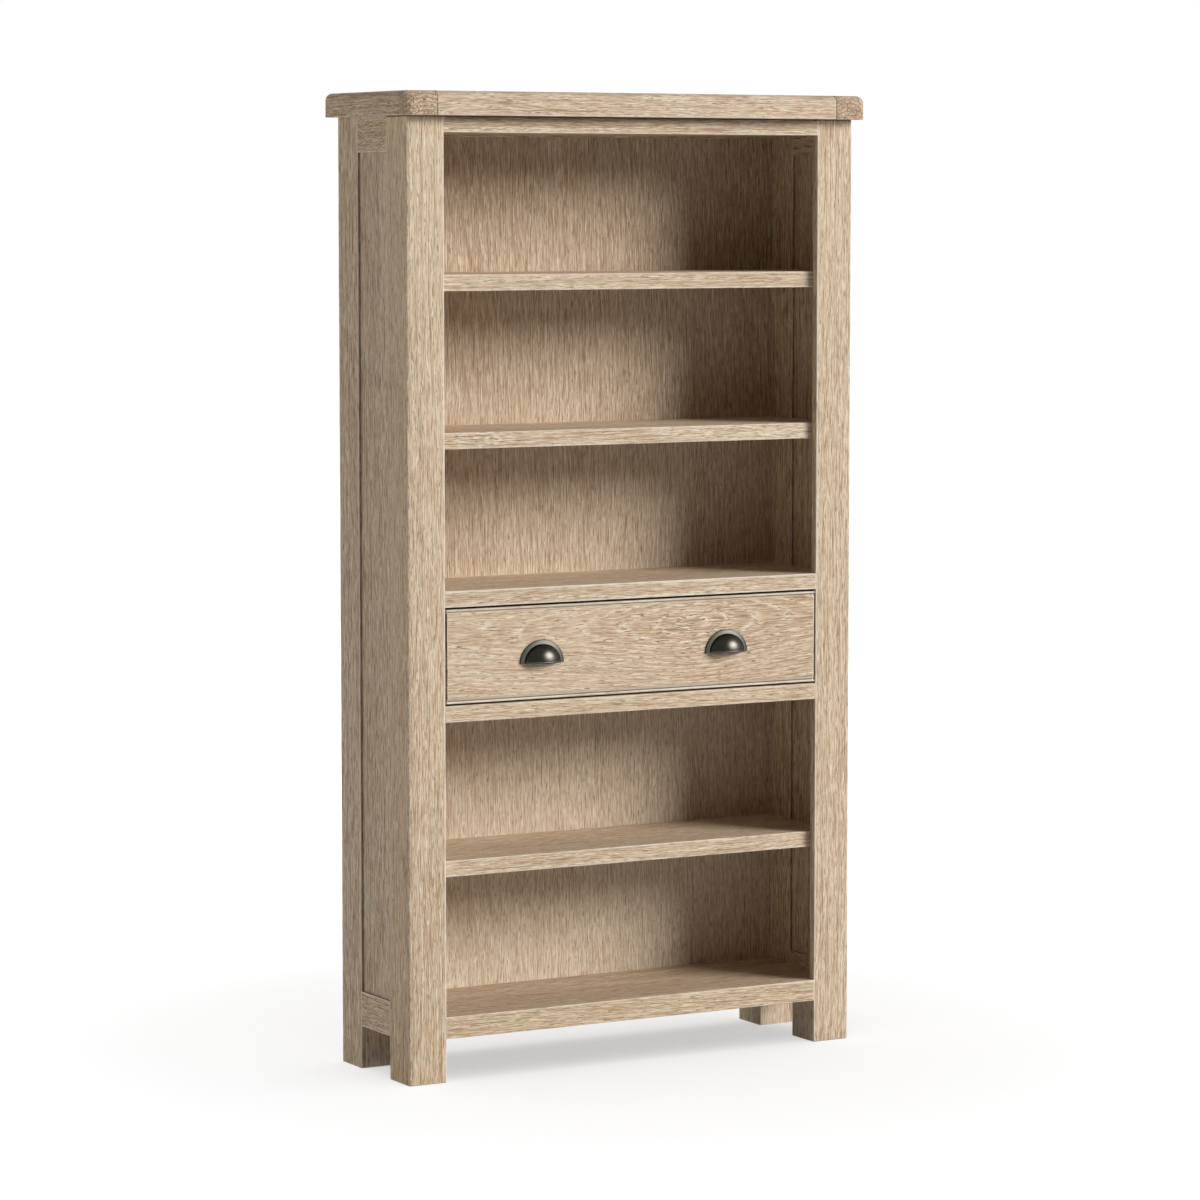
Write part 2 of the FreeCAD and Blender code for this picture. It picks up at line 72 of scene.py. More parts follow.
# Each lamp: name, azimuth, elevation, distance, width, height, power and colour
CASE_LAMPS = (("key_lamp", 42, 23, 20.0, 11.5, 8.6, 4260, (1.0, 0.971, 0.925)),
              ("left_lamp", -101, 12, 8.0, 5.0, 4.0, 122, (1.0, 0.90, 0.74)),
              ("back_lamp", 172, 8, 10.0, 5.0, 5.0, 500, (1, 1, 1)))
FLOOR_LAMP = ("floor_lamp", -15, 80, 5.0, 14.0, 14.0, 605, (1, 1, 1))
SKY_COLOUR = (0.84, 0.94, 1, 1)
SKY_STRENGTH = 0.06
WHITE = (1, 1, 1, 1)


def soft_lamp(name, azimuth, elevation, distance, width, height, power, colour):
    """An oval lamp that faces the case; azimuth 0 is in front of it and 90 at its right."""
    a, e = math.radians(azimuth), math.radians(elevation)
    away = np.array([math.sin(a) * math.cos(e), -math.cos(a) * math.cos(e), math.sin(e)])
    lamp = bpy.data.lights.new(name, "AREA")
    lamp.shape = "ELLIPSE"
    lamp.size = width
    lamp.size_y = height
    lamp.energy = power
    lamp.color = colour
    holder = bpy.data.objects.new(name, lamp)
    holder.location = LIGHT_TARGET + distance * away
    holder.rotation_euler = (math.pi / 2 - e, 0, a)
    bpy.context.collection.objects.link(holder)
    return holder


def set_lights(floor_piece):
    """A key from the right of the front, a weaker lamp at the left and one behind light the case alone. The
    floor has a soft lamp of its own overhead, so that only a soft shadow lies round the feet."""
    case_lamps = [soft_lamp(*lamp) for lamp in CASE_LAMPS]
    floor_lamp = soft_lamp(*FLOOR_LAMP)
    for lamps, state in ((case_lamps, "EXCLUDE"), ([floor_lamp], "INCLUDE")):
        reached = bpy.data.collections.new("floor " + state.lower())
        reached.objects.link(floor_piece)
        reached.collection_objects[0].light_linking.link_state = state
        for lamp in lamps:
            lamp.light_linking.receiver_collection = reached


def set_world():
    """A weak cool sky lights the case; the camera and mirror rays see plain white."""
    world = bpy.data.worlds.new("studio")
    bpy.context.scene.world = world
    world.use_nodes = True
    tree = world.node_tree
    tree.nodes.clear()
    seen = plainly_seen(tree)
    plain = add(tree, "ShaderNodeBackground", {"Color": SKY_COLOUR, "Strength": SKY_STRENGTH})
    white = add(tree, "ShaderNodeBackground", {"Color": WHITE, "Strength": 1.0})
    mix = add(tree, "ShaderNodeMixShader", {0: seen, 1: plain.outputs[0], 2: white.outputs[0]})
    add(tree, "ShaderNodeOutputWorld", {0: mix.outputs[0]})


# Small helpers for node trees

def add(tree, kind, inputs=None, **settings):
    """A new node with its settings; each input is a value or another node's socket."""
    made = tree.nodes.new(kind)
    for key, value in settings.items():
        setattr(made, key, value)
    for key, value in (inputs or {}).items():
        if isinstance(value, bpy.types.NodeSocket):
            tree.links.new(value, made.inputs[key])
        else:
            made.inputs[key].default_value = value
    return made


def maths(tree, operation, a, b=0.0, clamp=False):
    """One Math node; a and b are values or sockets."""
    return add(tree, "ShaderNodeMath", {0: a, 1: b}, operation=operation, use_clamp=clamp).outputs[0]


def plus(tree, a, b, clamp=False):
    return maths(tree, "ADD", a, b, clamp)


def minus(tree, a, b, clamp=False):
    return maths(tree, "SUBTRACT", a, b, clamp)


def times(tree, a, b, clamp=False):
    return maths(tree, "MULTIPLY", a, b, clamp)


def stretch(tree, vector, factors):
    return add(tree, "ShaderNodeVectorMath", {0: vector, 1: factors}, operation="MULTIPLY").outputs[0]


def shifted(tree, vector, shift):
    return add(tree, "ShaderNodeVectorMath", {0: vector, 1: shift}, operation="ADD").outputs[0]


def place_on_object(tree):
    return add(tree, "ShaderNodeTexCoord").outputs["Object"]


def plainly_seen(tree):
    """1 for a ray from the camera or off a mirror, 0 for one that lights the case."""
    path = add(tree, "ShaderNodeLightPath").outputs
    return maths(tree, "MAXIMUM", path["Is Camera Ray"], path["Is Glossy Ray"])


def arris_weight(tree):
    """The mesh attribute: above zero where an edge is rubbed, below zero for painted shade in creases,
    recesses and undersides, and for a dark joint line.
    """
    return add(tree, "ShaderNodeAttribute", attribute_name="arris").outputs["Fac"]


def cloud(tree, vector, detail, rough):
    """Noise at scale 1 of an already stretched vector."""
    inputs = {"Vector": vector, "Scale": 1.0, "Detail": detail, "Roughness": rough}
    return add(tree, "ShaderNodeTexNoise", inputs)


def between(tree, value, low, high):
    """0 below low, 1 above high and smooth between them."""
    inputs = {"Value": value, "From Min": low, "From Max": high}
    return add(tree, "ShaderNodeMapRange", inputs, interpolation_type="SMOOTHSTEP").outputs[0]


def blended(tree, share, a, b, kind="MIX"):
    """The colour a where the share is 0 and b, or its product with a, where it is 1."""
    mix = add(tree, "ShaderNodeMix", data_type="RGBA", blend_type=kind)
    for key, value in ((0, share), (6, a), (7, b)):
        if isinstance(value, bpy.types.NodeSocket):
            tree.links.new(value, mix.inputs[key])
        else:
            mix.inputs[key].default_value = value
    return mix.outputs[2]


def shader(material, **values):
    """The material's Principled shader with constants on its own sockets."""
    material.use_nodes = True
    principled = material.node_tree.nodes["Principled BSDF"]
    for key, value in values.items():
        principled.inputs[key.replace("_", " ")].default_value = value
    return principled


# Limed oak

OAK_MID = (0.615, 0.458, 0.318, 1)
OAK_DARK = (0.36, 0.240, 0.145, 1)
OAK_PALE = (0.80, 0.675, 0.520, 1)
LIME = (0.885, 0.795, 0.670, 1)
PORE = (0.250, 0.160, 0.095, 1)
EDGE_BAND_GREY = (0.44, 0.395, 0.34, 1)
RUBBED = (0.95, 0.895, 0.80, 1)
# Dark colour for painted shade in creases, recesses and undersides, and for one dark joint line
SHADE_AND_JOINT_DARK = (0.060, 0.045, 0.035, 1)
BOARD_ROUGHNESS = 0.68
BOARD_SPECULAR = 0.22

# How often to the metre the grain wanders, how far it does, and where its second copy lies
WANDER_SCALE = (2.0, 6.0, 6.0)
WANDER_REACH = (0.0, 0.022, 0.022)
OTHER_PLACE = (3.1, 2.3, 1.7)

# Parts of a year's ring, as shares of its width: a rise between the first two, a fall between the others
LATE_WOOD = (0.45, 0.95, 1.0, 0.90)
EARLY_WOOD = (0.0, 0.12, 0.62, 0.25)
OPEN_LINE = (0.02, 0.10, 0.26, 0.16)

# Strokes of tone: the copy of the grain, strokes to the metre along and across, detail, weight, and which
# of the board's own strengths they follow
MID_LEVEL = 0.58
TONE_STROKES = (("fine", 5.0, 760.0, 2.0, 2.5, "contrast"), ("other", 36.0, 860.0, 2.0, 2.4, "contrast"),
                ("other", 4.0, 320.0, 1.0, 0.25, "contrast"), ("fine", 2.2, 45.0, 2.0, 0.3, "patches"),
                ("own", 2.2, 12.0, 1.0, 0.3, "patches"))
EARLY_PALE, LATE_DARK = 0.18, 0.21
DARK_TO_MID, MID_TO_PALE = (0.0, 0.52), (0.50, 1.0)

# Flecks of lime, broken lines of lime and open pores: strokes to the metre, and the noise over which each
# appears
LIME_STROKES, LIME_START = (30.0, 760.0), (0.56, 0.66)
LINE_STROKES, LINE_START = (12.0, 160.0), (0.42, 0.62)
PORE_STROKES, PORE_START = (60.0, 720.0), (0.56, 0.65)
LIME_COVER, PORE_COVER, HOLE_COVER = 0.70, 0.52, 0.9
CROWD_IN_EARLY, CROWD_LOSS, LINE_COVER = 1.6, 0.55, 0.55

# Grey bands along the drawer's lower and upper edge, rubbed arrises, and painted shade on arrises and flats
LOWER_BAND_SHARE, UPPER_BAND_SHARE = 0.75, 0.40
RUB_STROKES, RUB_START = (30.0, 60.0), (0.15, 0.50)
ARRIS_COVER = 0.8
GRAIN_BUMP, GRAIN_RELIEF = 0.35, 0.6 * MM

# Faces across the grain
END_FACING = (0.45, 0.9)
END_LEVEL, END_LATE_DARK = 0.56, 0.60
DOT_STROKES, DOT_START = (240.0, 240.0), (0.53, 0.61)
DOTS_IN_EARLY, DOTS_ELSEWHERE = 1.1, 0.35
END_STROKES, END_DETAIL, END_WEIGHT = (60.0, 60.0), 3.0, 1.5


def log_space(tree, grain, centre):
    """Coordinates inside the log: x along the grain, y and z across it, from the board's own middle."""
    place = place_on_object(tree)
    moved = add(tree, "ShaderNodeMapping", {"Vector": place, "Location": [-c for c in centre]}).outputs[0]
    parts = add(tree, "ShaderNodeSeparateXYZ", {0: moved}).outputs
    order = {"x": (0, 2, 1), "y": (1, 0, 2), "z": (2, 0, 1)}[grain]
    turned = add(tree, "ShaderNodeCombineXYZ", {k: parts[i] for k, i in enumerate(order)})
    return turned.outputs[0]


def ring_distance(tree, vector, pith, taper):
    """Distance from the pith plus a share of the length, so that flat-sawn faces show arches."""
    parts = add(tree, "ShaderNodeSeparateXYZ", {0: vector}).outputs
    across = minus(tree, parts[1], pith[0])
    deep = minus(tree, parts[2], pith[1])
    across_squared = times(tree, across, across)
    deep_squared = times(tree, deep, deep)
    distance = maths(tree, "SQRT", plus(tree, across_squared, deep_squared))
    return plus(tree, distance, times(tree, parts[0], taper))


def eye_hills(tree, vector, eyes):
    """Each eye (along, side, length, width, height, lime, spread) is a smooth hill. Returns the hills by
    height, which close the rings round them, the lime that they gather, and a shift across the grain that
    makes the strokes part round them."""
    parts = add(tree, "ShaderNodeSeparateXYZ", {0: vector}).outputs
    hills = gathered = parted = 0.0
    for along, side, length, width, height, lime, spread in eyes:
        off_side = minus(tree, parts[1], side)
        u = maths(tree, "DIVIDE", minus(tree, parts[0], along), length)
        v = maths(tree, "DIVIDE", off_side, width)
        apart = plus(tree, times(tree, u, u), times(tree, v, v))
        hill = maths(tree, "POWER", math.e, times(tree, apart, -1.0))
        hills = plus(tree, times(tree, hill, height), hills)
        gathered = plus(tree, times(tree, hill, lime), gathered)
        shift = times(tree, times(tree, hill, off_side), -spread)
        parted = plus(tree, shift, parted)
    return hills, gathered, add(tree, "ShaderNodeCombineXYZ", {1: parted}).outputs[0]


def strokes(tree, vector, along, across, detail=1.0):
    """Noise drawn out along the grain, as many strokes to the metre as given, between about 0 and 1."""
    return cloud(tree, stretch(tree, vector, (along, across, across)), detail, 0.55).outputs["Fac"]


def weighted(tree, level, noise, weight):
    """The level plus the noise's departure from its middle, times a weight."""
    apart = times(tree, minus(tree, noise, 0.5), weight)
    return plus(tree, level, apart)


def ring_part(tree, ring, part):
    """1 inside one part of the ring and smooth at both its sides."""
    rise_from, rise_to, fall_from, fall_to = part
    return times(tree, between(tree, ring, rise_from, rise_to), between(tree, ring, fall_from, fall_to))


def limed_oak(name, grain, centre, pith=(0.35, 0.12), taper=0.0, rings=110.0, eyes=(), figure=0.5,
              tone=0.0, seed=0.0, flecks=1.0, contrast=1.0, soiled=None, lift=0.0, patches=1.0,
              wash=(1.0, 1.0, 1.0, 1)):
    """Washed and limed oak. The rings set where the open early wood lies, and there the short dark pores
    and the pale flecks of lime crowd together; broader strokes and patches lie under them. Faces across
    the grain show the rings as dark curves with dots between them. The board grows paler along the grain by
    lift to the metre, and the wash tints it. Where the arris weight is below zero the colour darkens:
    painted shade in creases, recesses and undersides, and on the bottom front rail a dark joint line."""
    material = bpy.data.materials.new(name)
    principled = shader(material, Roughness=BOARD_ROUGHNESS, Specular_IOR_Level=BOARD_SPECULAR)
    tree = material.node_tree
    wood = log_space(tree, grain, centre)
    own = shifted(tree, wood, (seed * 1.7, seed * 0.9, seed * 0.6))
    drift = cloud(tree, stretch(tree, own, WANDER_SCALE), 1.0, 0.5).outputs["Color"]
    drift = stretch(tree, shifted(tree, drift, (-0.5, -0.5, -0.5)), WANDER_REACH)
    bent = shifted(tree, wood, drift)
    hills, gathered, parted = eye_hills(tree, bent, eyes)
    bent = shifted(tree, bent, parted)
    distance = plus(tree, ring_distance(tree, bent, pith, taper), hills)
    ring = maths(tree, "FRACT", times(tree, distance, rings))
    late = ring_part(tree, ring, LATE_WOOD)
    early = ring_part(tree, ring, EARLY_WOOD)
    crowd = plus(tree, times(tree, early, CROWD_IN_EARLY * figure), 1.0 - CROWD_LOSS * figure)
    crowd = times(tree, crowd, plus(tree, gathered, 1.0))
    own = shifted(tree, own, parted)
    fine = shifted(tree, own, drift)
    other = shifted(tree, fine, OTHER_PLACE)
    copies = {"own": own, "fine": fine, "other": other}
    strengths = {"contrast": contrast, "patches": patches}
    level = MID_LEVEL + tone
    for copy, along, across, detail, weight, follows in TONE_STROKES:
        noise = strokes(tree, copies[copy], along, across, detail)
        level = weighted(tree, level, noise, weight * strengths[follows])
    along = add(tree, "ShaderNodeSeparateXYZ", {0: wood}).outputs[0]
    level = plus(tree, level, times(tree, along, lift))
    level = weighted(tree, level, early, figure * EARLY_PALE)
    level = minus(tree, level, times(tree, late, figure * LATE_DARK), clamp=True)
    level, holes = end_grain(tree, level, grain, own, late, early, tone)
    colour = blended(tree, between(tree, level, *DARK_TO_MID), OAK_DARK, OAK_MID)
    colour = blended(tree, between(tree, level, *MID_TO_PALE), colour, OAK_PALE)
    lime = between(tree, strokes(tree, other, *LIME_STROKES), *LIME_START)
    lime = times(tree, times(tree, lime, crowd), LIME_COVER * flecks, clamp=True)
    line = ring_part(tree, ring, OPEN_LINE)
    line = times(tree, line, between(tree, strokes(tree, other, *LINE_STROKES), *LINE_START))
    line = times(tree, line, plus(tree, gathered, LINE_COVER * figure))
    lime = plus(tree, lime, times(tree, line, flecks), clamp=True)
    colour = blended(tree, lime, colour, LIME)
    pores = between(tree, strokes(tree, fine, *PORE_STROKES), *PORE_START)
    pores = times(tree, times(tree, pores, crowd), PORE_COVER, clamp=True)
    pores = plus(tree, pores, times(tree, holes, HOLE_COVER), clamp=True)
    colour = blended(tree, pores, colour, PORE)
    if soiled:
        colour = soiled_edges(tree, wood, colour, *soiled)
    arris = arris_weight(tree)
    rubbed = times(tree, arris, between(tree, strokes(tree, fine, *RUB_STROKES), *RUB_START))
    colour = blended(tree, times(tree, rubbed, ARRIS_COVER), colour, RUBBED)
    # painted shade: where the arris weight is below zero the colour darkens towards a near-black brown
    colour = blended(tree, times(tree, arris, -ARRIS_COVER), colour, SHADE_AND_JOINT_DARK)
    colour = blended(tree, 1.0, colour, wash, "MULTIPLY")
    tree.links.new(colour, principled.inputs["Base Color"])
    relief = minus(tree, level, pores)
    bump = add(tree, "ShaderNodeBump", {"Height": relief, "Strength": GRAIN_BUMP, "Distance": GRAIN_RELIEF})
    tree.links.new(bump.outputs[0], principled.inputs["Normal"])
    return material


def soiled_edges(tree, wood, colour, height, start, end):
    """Grey bands along the lower and the upper edge of a board of that height. Each fades from full at end
    to nothing at start, both measured from the edge; the upper band is half as wide and weaker."""
    place = add(tree, "ShaderNodeSeparateXYZ", {0: wood}).outputs[1]
    lower = between(tree, place, height / -2 + start, height / -2 + end)
    upper = between(tree, place, height / 2 - start / 2, height / 2 - end / 2)
    band = plus(tree, times(tree, lower, LOWER_BAND_SHARE), times(tree, upper, UPPER_BAND_SHARE))
    return blended(tree, band, colour, EDGE_BAND_GREY)


def end_grain(tree, level, grain, own, late, early, tone):
    """The level on faces across the grain: dark late rings, open dots in the early wood. Returns the level
    and those open dots."""
    facing = add(tree, "ShaderNodeTexCoord").outputs["Normal"]
    facing = add(tree, "ShaderNodeSeparateXYZ", {0: facing}).outputs[AXIS_NUMBER[grain]]
    share = between(tree, maths(tree, "ABSOLUTE", facing), *END_FACING)
    dots = between(tree, strokes(tree, own, *DOT_STROKES), *DOT_START)
    dots = times(tree, dots, plus(tree, times(tree, early, DOTS_IN_EARLY), DOTS_ELSEWHERE))
    cut = weighted(tree, END_LEVEL + tone, strokes(tree, own, *END_STROKES, END_DETAIL), END_WEIGHT)
    cut = minus(tree, cut, times(tree, late, END_LATE_DARK))
    cut = minus(tree, cut, dots, clamp=True)
    level = add(tree, "ShaderNodeMix", {0: share, 2: level, 3: cut}).outputs[0]
    return level, times(tree, dots, share)


# Metal

PEWTER_DARK = (0.021, 0.019, 0.015, 1)
PEWTER_STAIN = (0.031, 0.028, 0.022, 1)
PEWTER_WORN_HIGHLIGHT = (0.074, 0.071, 0.063, 1)
PEWTER_RUBBED = (0.078, 0.075, 0.066, 1)
WORN_HIGHLIGHT_REACH = (20 * MM, 4 * MM)
PEWTER_ROUGH, PEWTER_ROUGH_GRAIN, PEWTER_ROUGH_RUB = 0.25, 0.12, 0.13
CASTING_BUMP, CASTING_RELIEF = 0.12, 0.2 * MM
CASTING_GRAIN, CASTING_STAIN, ZINC_GRAIN = 900.0, 120.0, 700.0
ZINC_DARK = (0.50, 0.50, 0.49, 1)
ZINC_PALE = (0.70, 0.70, 0.68, 1)
ZINC_ROUGH, ZINC_ROUGH_GRAIN = 0.25, 0.25


def metal_grain(tree, place, scale):
    """Fine even noise, as many grains to the metre as given, the same in all directions."""
    return cloud(tree, stretch(tree, place, (scale, scale, scale)), 3.0, 0.6).outputs["Fac"]


def antique_pewter(name, worn_highlight_place):
    """Dark cast metal, brighter along the rubbed flange, and brighter on the bowl in a finger-worn patch
    set where the lamp's highlight falls: partly wear, partly painted highlight.
    """
    material = bpy.data.materials.new(name)
    principled = shader(material, Metallic=1.0)
    tree = material.node_tree
    place = place_on_object(tree)
    grain = metal_grain(tree, place, CASTING_GRAIN)
    stain = metal_grain(tree, place, CASTING_STAIN)
    rub = arris_weight(tree)
    away = add(tree, "ShaderNodeVectorMath", {0: place, 1: worn_highlight_place}, operation="DISTANCE")
    # the worn patch lies where the key lamp's highlight falls: partly real wear, partly painted highlight
    worn_highlight = between(tree, away.outputs["Value"], *WORN_HIGHLIGHT_REACH)
    dark = blended(tree, between(tree, stain, 0.3, 0.7), PEWTER_DARK, PEWTER_STAIN)
    dark = blended(tree, worn_highlight, dark, PEWTER_WORN_HIGHLIGHT)
    colour = blended(tree, rub, dark, PEWTER_RUBBED)
    tree.links.new(colour, principled.inputs["Base Color"])
    rough = plus(tree, times(tree, grain, PEWTER_ROUGH_GRAIN), PEWTER_ROUGH)
    rough = plus(tree, rough, times(tree, rub, PEWTER_ROUGH_RUB))
    tree.links.new(rough, principled.inputs["Roughness"])
    bumps = {"Height": grain, "Strength": CASTING_BUMP, "Distance": CASTING_RELIEF}
    bump = add(tree, "ShaderNodeBump", bumps)
    tree.links.new(bump.outputs[0], principled.inputs["Normal"])
    return material


def zinc_steel():
    """Plated steel for the screws, nails and pins."""
    material = bpy.data.materials.new("zinc_steel")
    principled = shader(material, Metallic=1.0)
    tree = material.node_tree
    place = place_on_object(tree)
    grain = metal_grain(tree, place, ZINC_GRAIN)
    colour = blended(tree, grain, ZINC_DARK, ZINC_PALE)
    tree.links.new(colour, principled.inputs["Base Color"])
    rough = plus(tree, times(tree, grain, ZINC_ROUGH_GRAIN), ZINC_ROUGH)
    tree.links.new(rough, principled.inputs["Roughness"])
    return material


# Meshes from profiles carried along a path

# Support points on the flat beside a corner: shares of half the flat, and the farthest that each may lie
SUPPORT_SHARES = (0.10, 0.42, 0.90)
SUPPORT_LIMITS = (0.0006, 0.004, 0.012)
ARC_STEPS = 5
CORNER_POINTS = 2 * len(SUPPORT_SHARES) + ARC_STEPS
# The rings at each end: the cap's edge, the rounding and one support
END_ARC_STEPS = 4
END_RINGS = END_ARC_STEPS + 2
SUPPORT = 0.6 * MM
FIRST_STATION = 3 * MM
END_ARRIS = 0.8 * MM
STATION = 18 * MM
# How far the shells of one piece run into each other
OVERLAP = 1 * MM
SMOOTH_ANGLE = 50.0


def rounded_ring(outline, radii, pale, painted_shade=(), fading_shade=()):
    """A closed ring from a counter-clockwise outline. Each corner is an arc about a centre that lies one
    radius inside both edges, and support points follow on the flats beside it. The list of painted shade
    holds (corner, weight): the flat that runs from that corner to the next one takes that weight, below
    zero for painted shade. The list of fading shade holds the same for painted shade that fades out along
    that flat.
    Returns points, outward normals, arris weights, corner numbers and distances from the corner."""
    corners = np.asarray(outline, float)
    radii = np.broadcast_to(np.asarray(radii, float), len(corners))
    ahead = np.roll(corners, -1, axis=0) - corners
    lengths = np.linalg.norm(ahead, axis=1)
    leaving = ahead / lengths[:, None]
    coming = np.roll(leaving, 1, axis=0)
    crossed = coming[:, 0] * leaving[:, 1] - coming[:, 1] * leaving[:, 0]
    turn = np.arctan2(crossed, (coming * leaving).sum(1))
    sign = np.sign(turn)
    tangent = radii * np.tan(np.abs(turn) / 2)
    free = lengths - tangent - np.roll(tangent, -1)
    reach = np.minimum(np.outer(free, np.array(SUPPORT_SHARES)) * 0.5, np.array(SUPPORT_LIMITS))
    outward = np.stack([coming[:, 1], -coming[:, 0]], axis=1)
    start = corners - coming * tangent[:, None]
    centre = start - outward * (sign * radii)[:, None]
    angle = turn[:, None] * np.linspace(0, 1, ARC_STEPS)[None]
    c, s = np.cos(angle), np.sin(angle)
    out_a, out_b = outward[:, :1], outward[:, 1:]
    normals = np.stack([c * out_a - s * out_b, s * out_a + c * out_b], axis=2)
    arcs = centre[:, None] + normals * (sign * radii)[:, None, None]
    reach_in = np.roll(reach, 1, axis=0)[:, ::-1]
    before = start[:, None] - coming[:, None] * reach_in[:, :, None]
    end = corners + leaving * tangent[:, None]
    after = end[:, None] + leaving[:, None] * reach[:, :, None]
    flat_out = np.stack([leaving[:, 1], -leaving[:, 0]], axis=1)
    count = reach.shape[1]
    points = np.concatenate([before, arcs, after], axis=1)
    facing = np.concatenate([np.repeat(outward[:, None], count, 1), normals,
                             np.repeat(flat_out[:, None], count, 1)], axis=1)
    weight = np.concatenate([[0, 0, 0.5], np.ones(ARC_STEPS), [0.5, 0, 0]])
    weight = np.broadcast_to(np.asarray(pale, float), len(corners))[:, None] * weight[None]
    # painted shade: the listed flats take a weight below zero, which the material darkens
    for corner, shade_weight in painted_shade:
        weight[corner, -count:] = shade_weight
        weight[(corner + 1) % len(corners), :count] = shade_weight
    for corner, shade_weight in fading_shade:
        weight[corner, -count:] = shade_weight * np.linspace(1, 0, count)
    per_corner = points.shape[1]
    number = np.repeat(np.arange(len(corners)), per_corner)
    away = np.linalg.norm(points - corners[:, None], axis=2).ravel()
    return points.reshape(-1, 2), facing.reshape(-1, 2), weight.ravel(), number, away


def wander(places, seed, waves):
    """A smooth random line: a sum of sines, each with its own wavelength, share and seeded phase."""
    random = np.random.default_rng(seed)
    total = np.zeros_like(places)
    for wavelength, share in waves:
        total += share * np.sin(2 * np.pi * places / wavelength + random.uniform(0, 2 * np.pi))
    return total


WEAR_WAVES = ((0.310, 0.30), (0.121, 0.30), (0.047, 0.28), (0.0231, 0.22), (0.0127, 0.12))


def carried(outline, radii, low, high, axis, end_arris=END_ARRIS, station=STATION, wear=(), seed=1,
            pale=1.0, painted_shade=(), fading_shade=()):
    """A profile carried along an axis from low to high, with rounded ends and flat caps. Its rings stand
    about one station apart.
    wear lists (corner, depth, width): that corner's edge is pushed in along its bisector by depth times
    a smooth random line between 0 and 1, fading with the distance from the corner over width."""
    ring, facing, weight, number, away = rounded_ring(outline, radii, pale, painted_shade, fading_shade)
    turn = np.linspace(math.pi / 2, 0, END_ARC_STEPS)
    inset = np.concatenate([[end_arris + SUPPORT], end_arris * (1 - np.cos(turn)), [0.0]])
    place = np.concatenate([[0.0], end_arris * (1 - np.sin(turn)), [end_arris + SUPPORT]])
    inner = np.linspace(low + FIRST_STATION, high - FIRST_STATION, max(2, int((high - low) / station)))
    places = np.concatenate([low + place, inner, high - place[::-1]])
    insets = np.concatenate([inset, np.zeros(len(inner)), inset[::-1]])
    grid = ring[None] - facing[None] * insets[:, None, None]
    for corner, depth, width in wear:
        pushed = np.clip(0.5 + 0.5 * wander(places, seed + corner, WEAR_WAVES), 0, 1) * depth
        bisector = facing[number == corner].mean(0)
        bisector /= np.linalg.norm(bisector)
        fade = np.where(number == corner, np.exp(-(away / width) ** 2), 0.0)
        grid = grid - bisector[None, None] * (pushed[:, None] * fade[None])[:, :, None]
    along = np.broadcast_to(places[:, None], grid.shape[:2])
    order = {"x": (2, 0, 1), "y": (1, 2, 0), "z": (0, 1, 2)}[axis]
    flat = np.stack([grid[:, :, 0], grid[:, :, 1], along], axis=2)
    rounding = np.ones(len(places), bool)
    rounding[0] = rounding[-1] = False
    rounding[END_RINGS - 1:1 - END_RINGS] = False
    arris = np.where(rounding[:, None], 1.0, weight[None])
    return flat[:, :, list(order)], arris


def mesh_piece(name, shells, body, nodes, material, smooth_angle=SMOOTH_ANGLE):
    """One object from closed shells: each is a grid of rings with a flat cap at both ends."""
    points, faces, weights = [], [], []
    base = 0
    for grid, arris in shells:
        rings, count = grid.shape[:2]
        index = base + np.arange(rings * count).reshape(rings, count)
        following = np.roll(index, -1, axis=1)
        quads = np.stack([index[:-1], following[:-1], following[1:], index[1:]], axis=2).reshape(-1, 4)
        faces += quads.tolist()
        faces += [index[0, ::-1].tolist(), index[-1].tolist()]
        points.append(grid.reshape(-1, 3))
        weights.append(np.asarray(arris, float).ravel())
        base += rings * count
    mesh = bpy.data.meshes.new(name)
    mesh.from_pydata(np.concatenate(points).tolist(), [], faces)
    mark = mesh.attributes.new("arris", "FLOAT", "POINT")
    mark.data.foreach_set("value", np.concatenate(weights))
    mesh.polygons.foreach_set("use_smooth", np.ones(len(mesh.polygons), bool))
    mesh.set_sharp_from_angle(angle=math.radians(smooth_angle))
    mesh.materials.append(material)
    mesh.update()
    piece = bpy.data.objects.new(name, mesh)
    bpy.context.collection.objects.link(piece)
    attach(piece, body)
    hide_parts(*nodes)


def oak_piece(node, shells, grain, centre, body="case", slot="limed_oak", kind="board", **look):
    """A piece of oak in the place of its CAD node, with a material of its own."""
    material = limed_oak(node + "_oak", grain, centre, **look)
    mesh_piece("%s_%s" % (node, kind), shells, body, [node], material)


def box_outline(low, high, axis):
    """A counter-clockwise rectangle across the axis: (x, y) for z, (y, z) for x, (z, x) for y."""
    first, second = {"x": (1, 2), "y": (2, 0), "z": (0, 1)}[axis]
    a0, a1, b0, b1 = low[first], high[first], low[second], high[second]
    return [(a0, b0), (a1, b0), (a1, b1), (a0, b1)]


# How deep and how wide a plank's arris is worn
PLANK_WEAR = (0.35 * MM, 4 * MM)


def plank(node, grain, slot="limed_oak", arris=1.0 * MM, shrink=0.0, wear=None, seed=1, pale=0.6,
          painted_shade=(), fading_shade=(), **look):
    """A softened board in the place of a CAD node."""
    low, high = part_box(node)
    low, high = np.array(low, float) + shrink, np.array(high, float) - shrink
    n = AXIS_NUMBER[grain]
    outline = box_outline(low, high, grain)
    if wear is None:
        wear = [(corner, *PLANK_WEAR) for corner in range(4)]
    end_arris = min(np.max(arris), END_ARRIS)
    shell = carried(outline, arris, low[n], high[n], grain, end_arris, wear=wear, seed=seed, pale=pale,
                    painted_shade=painted_shade, fading_shade=fading_shade)
    oak_piece(node, [shell], grain, (low + high) / 2, slot=slot, seed=seed, **look)


# Sizes read from the frame

def span(node):
    """The low and the high corner of a CAD node's box."""
    low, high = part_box(node)
    return np.array(low), np.array(high)


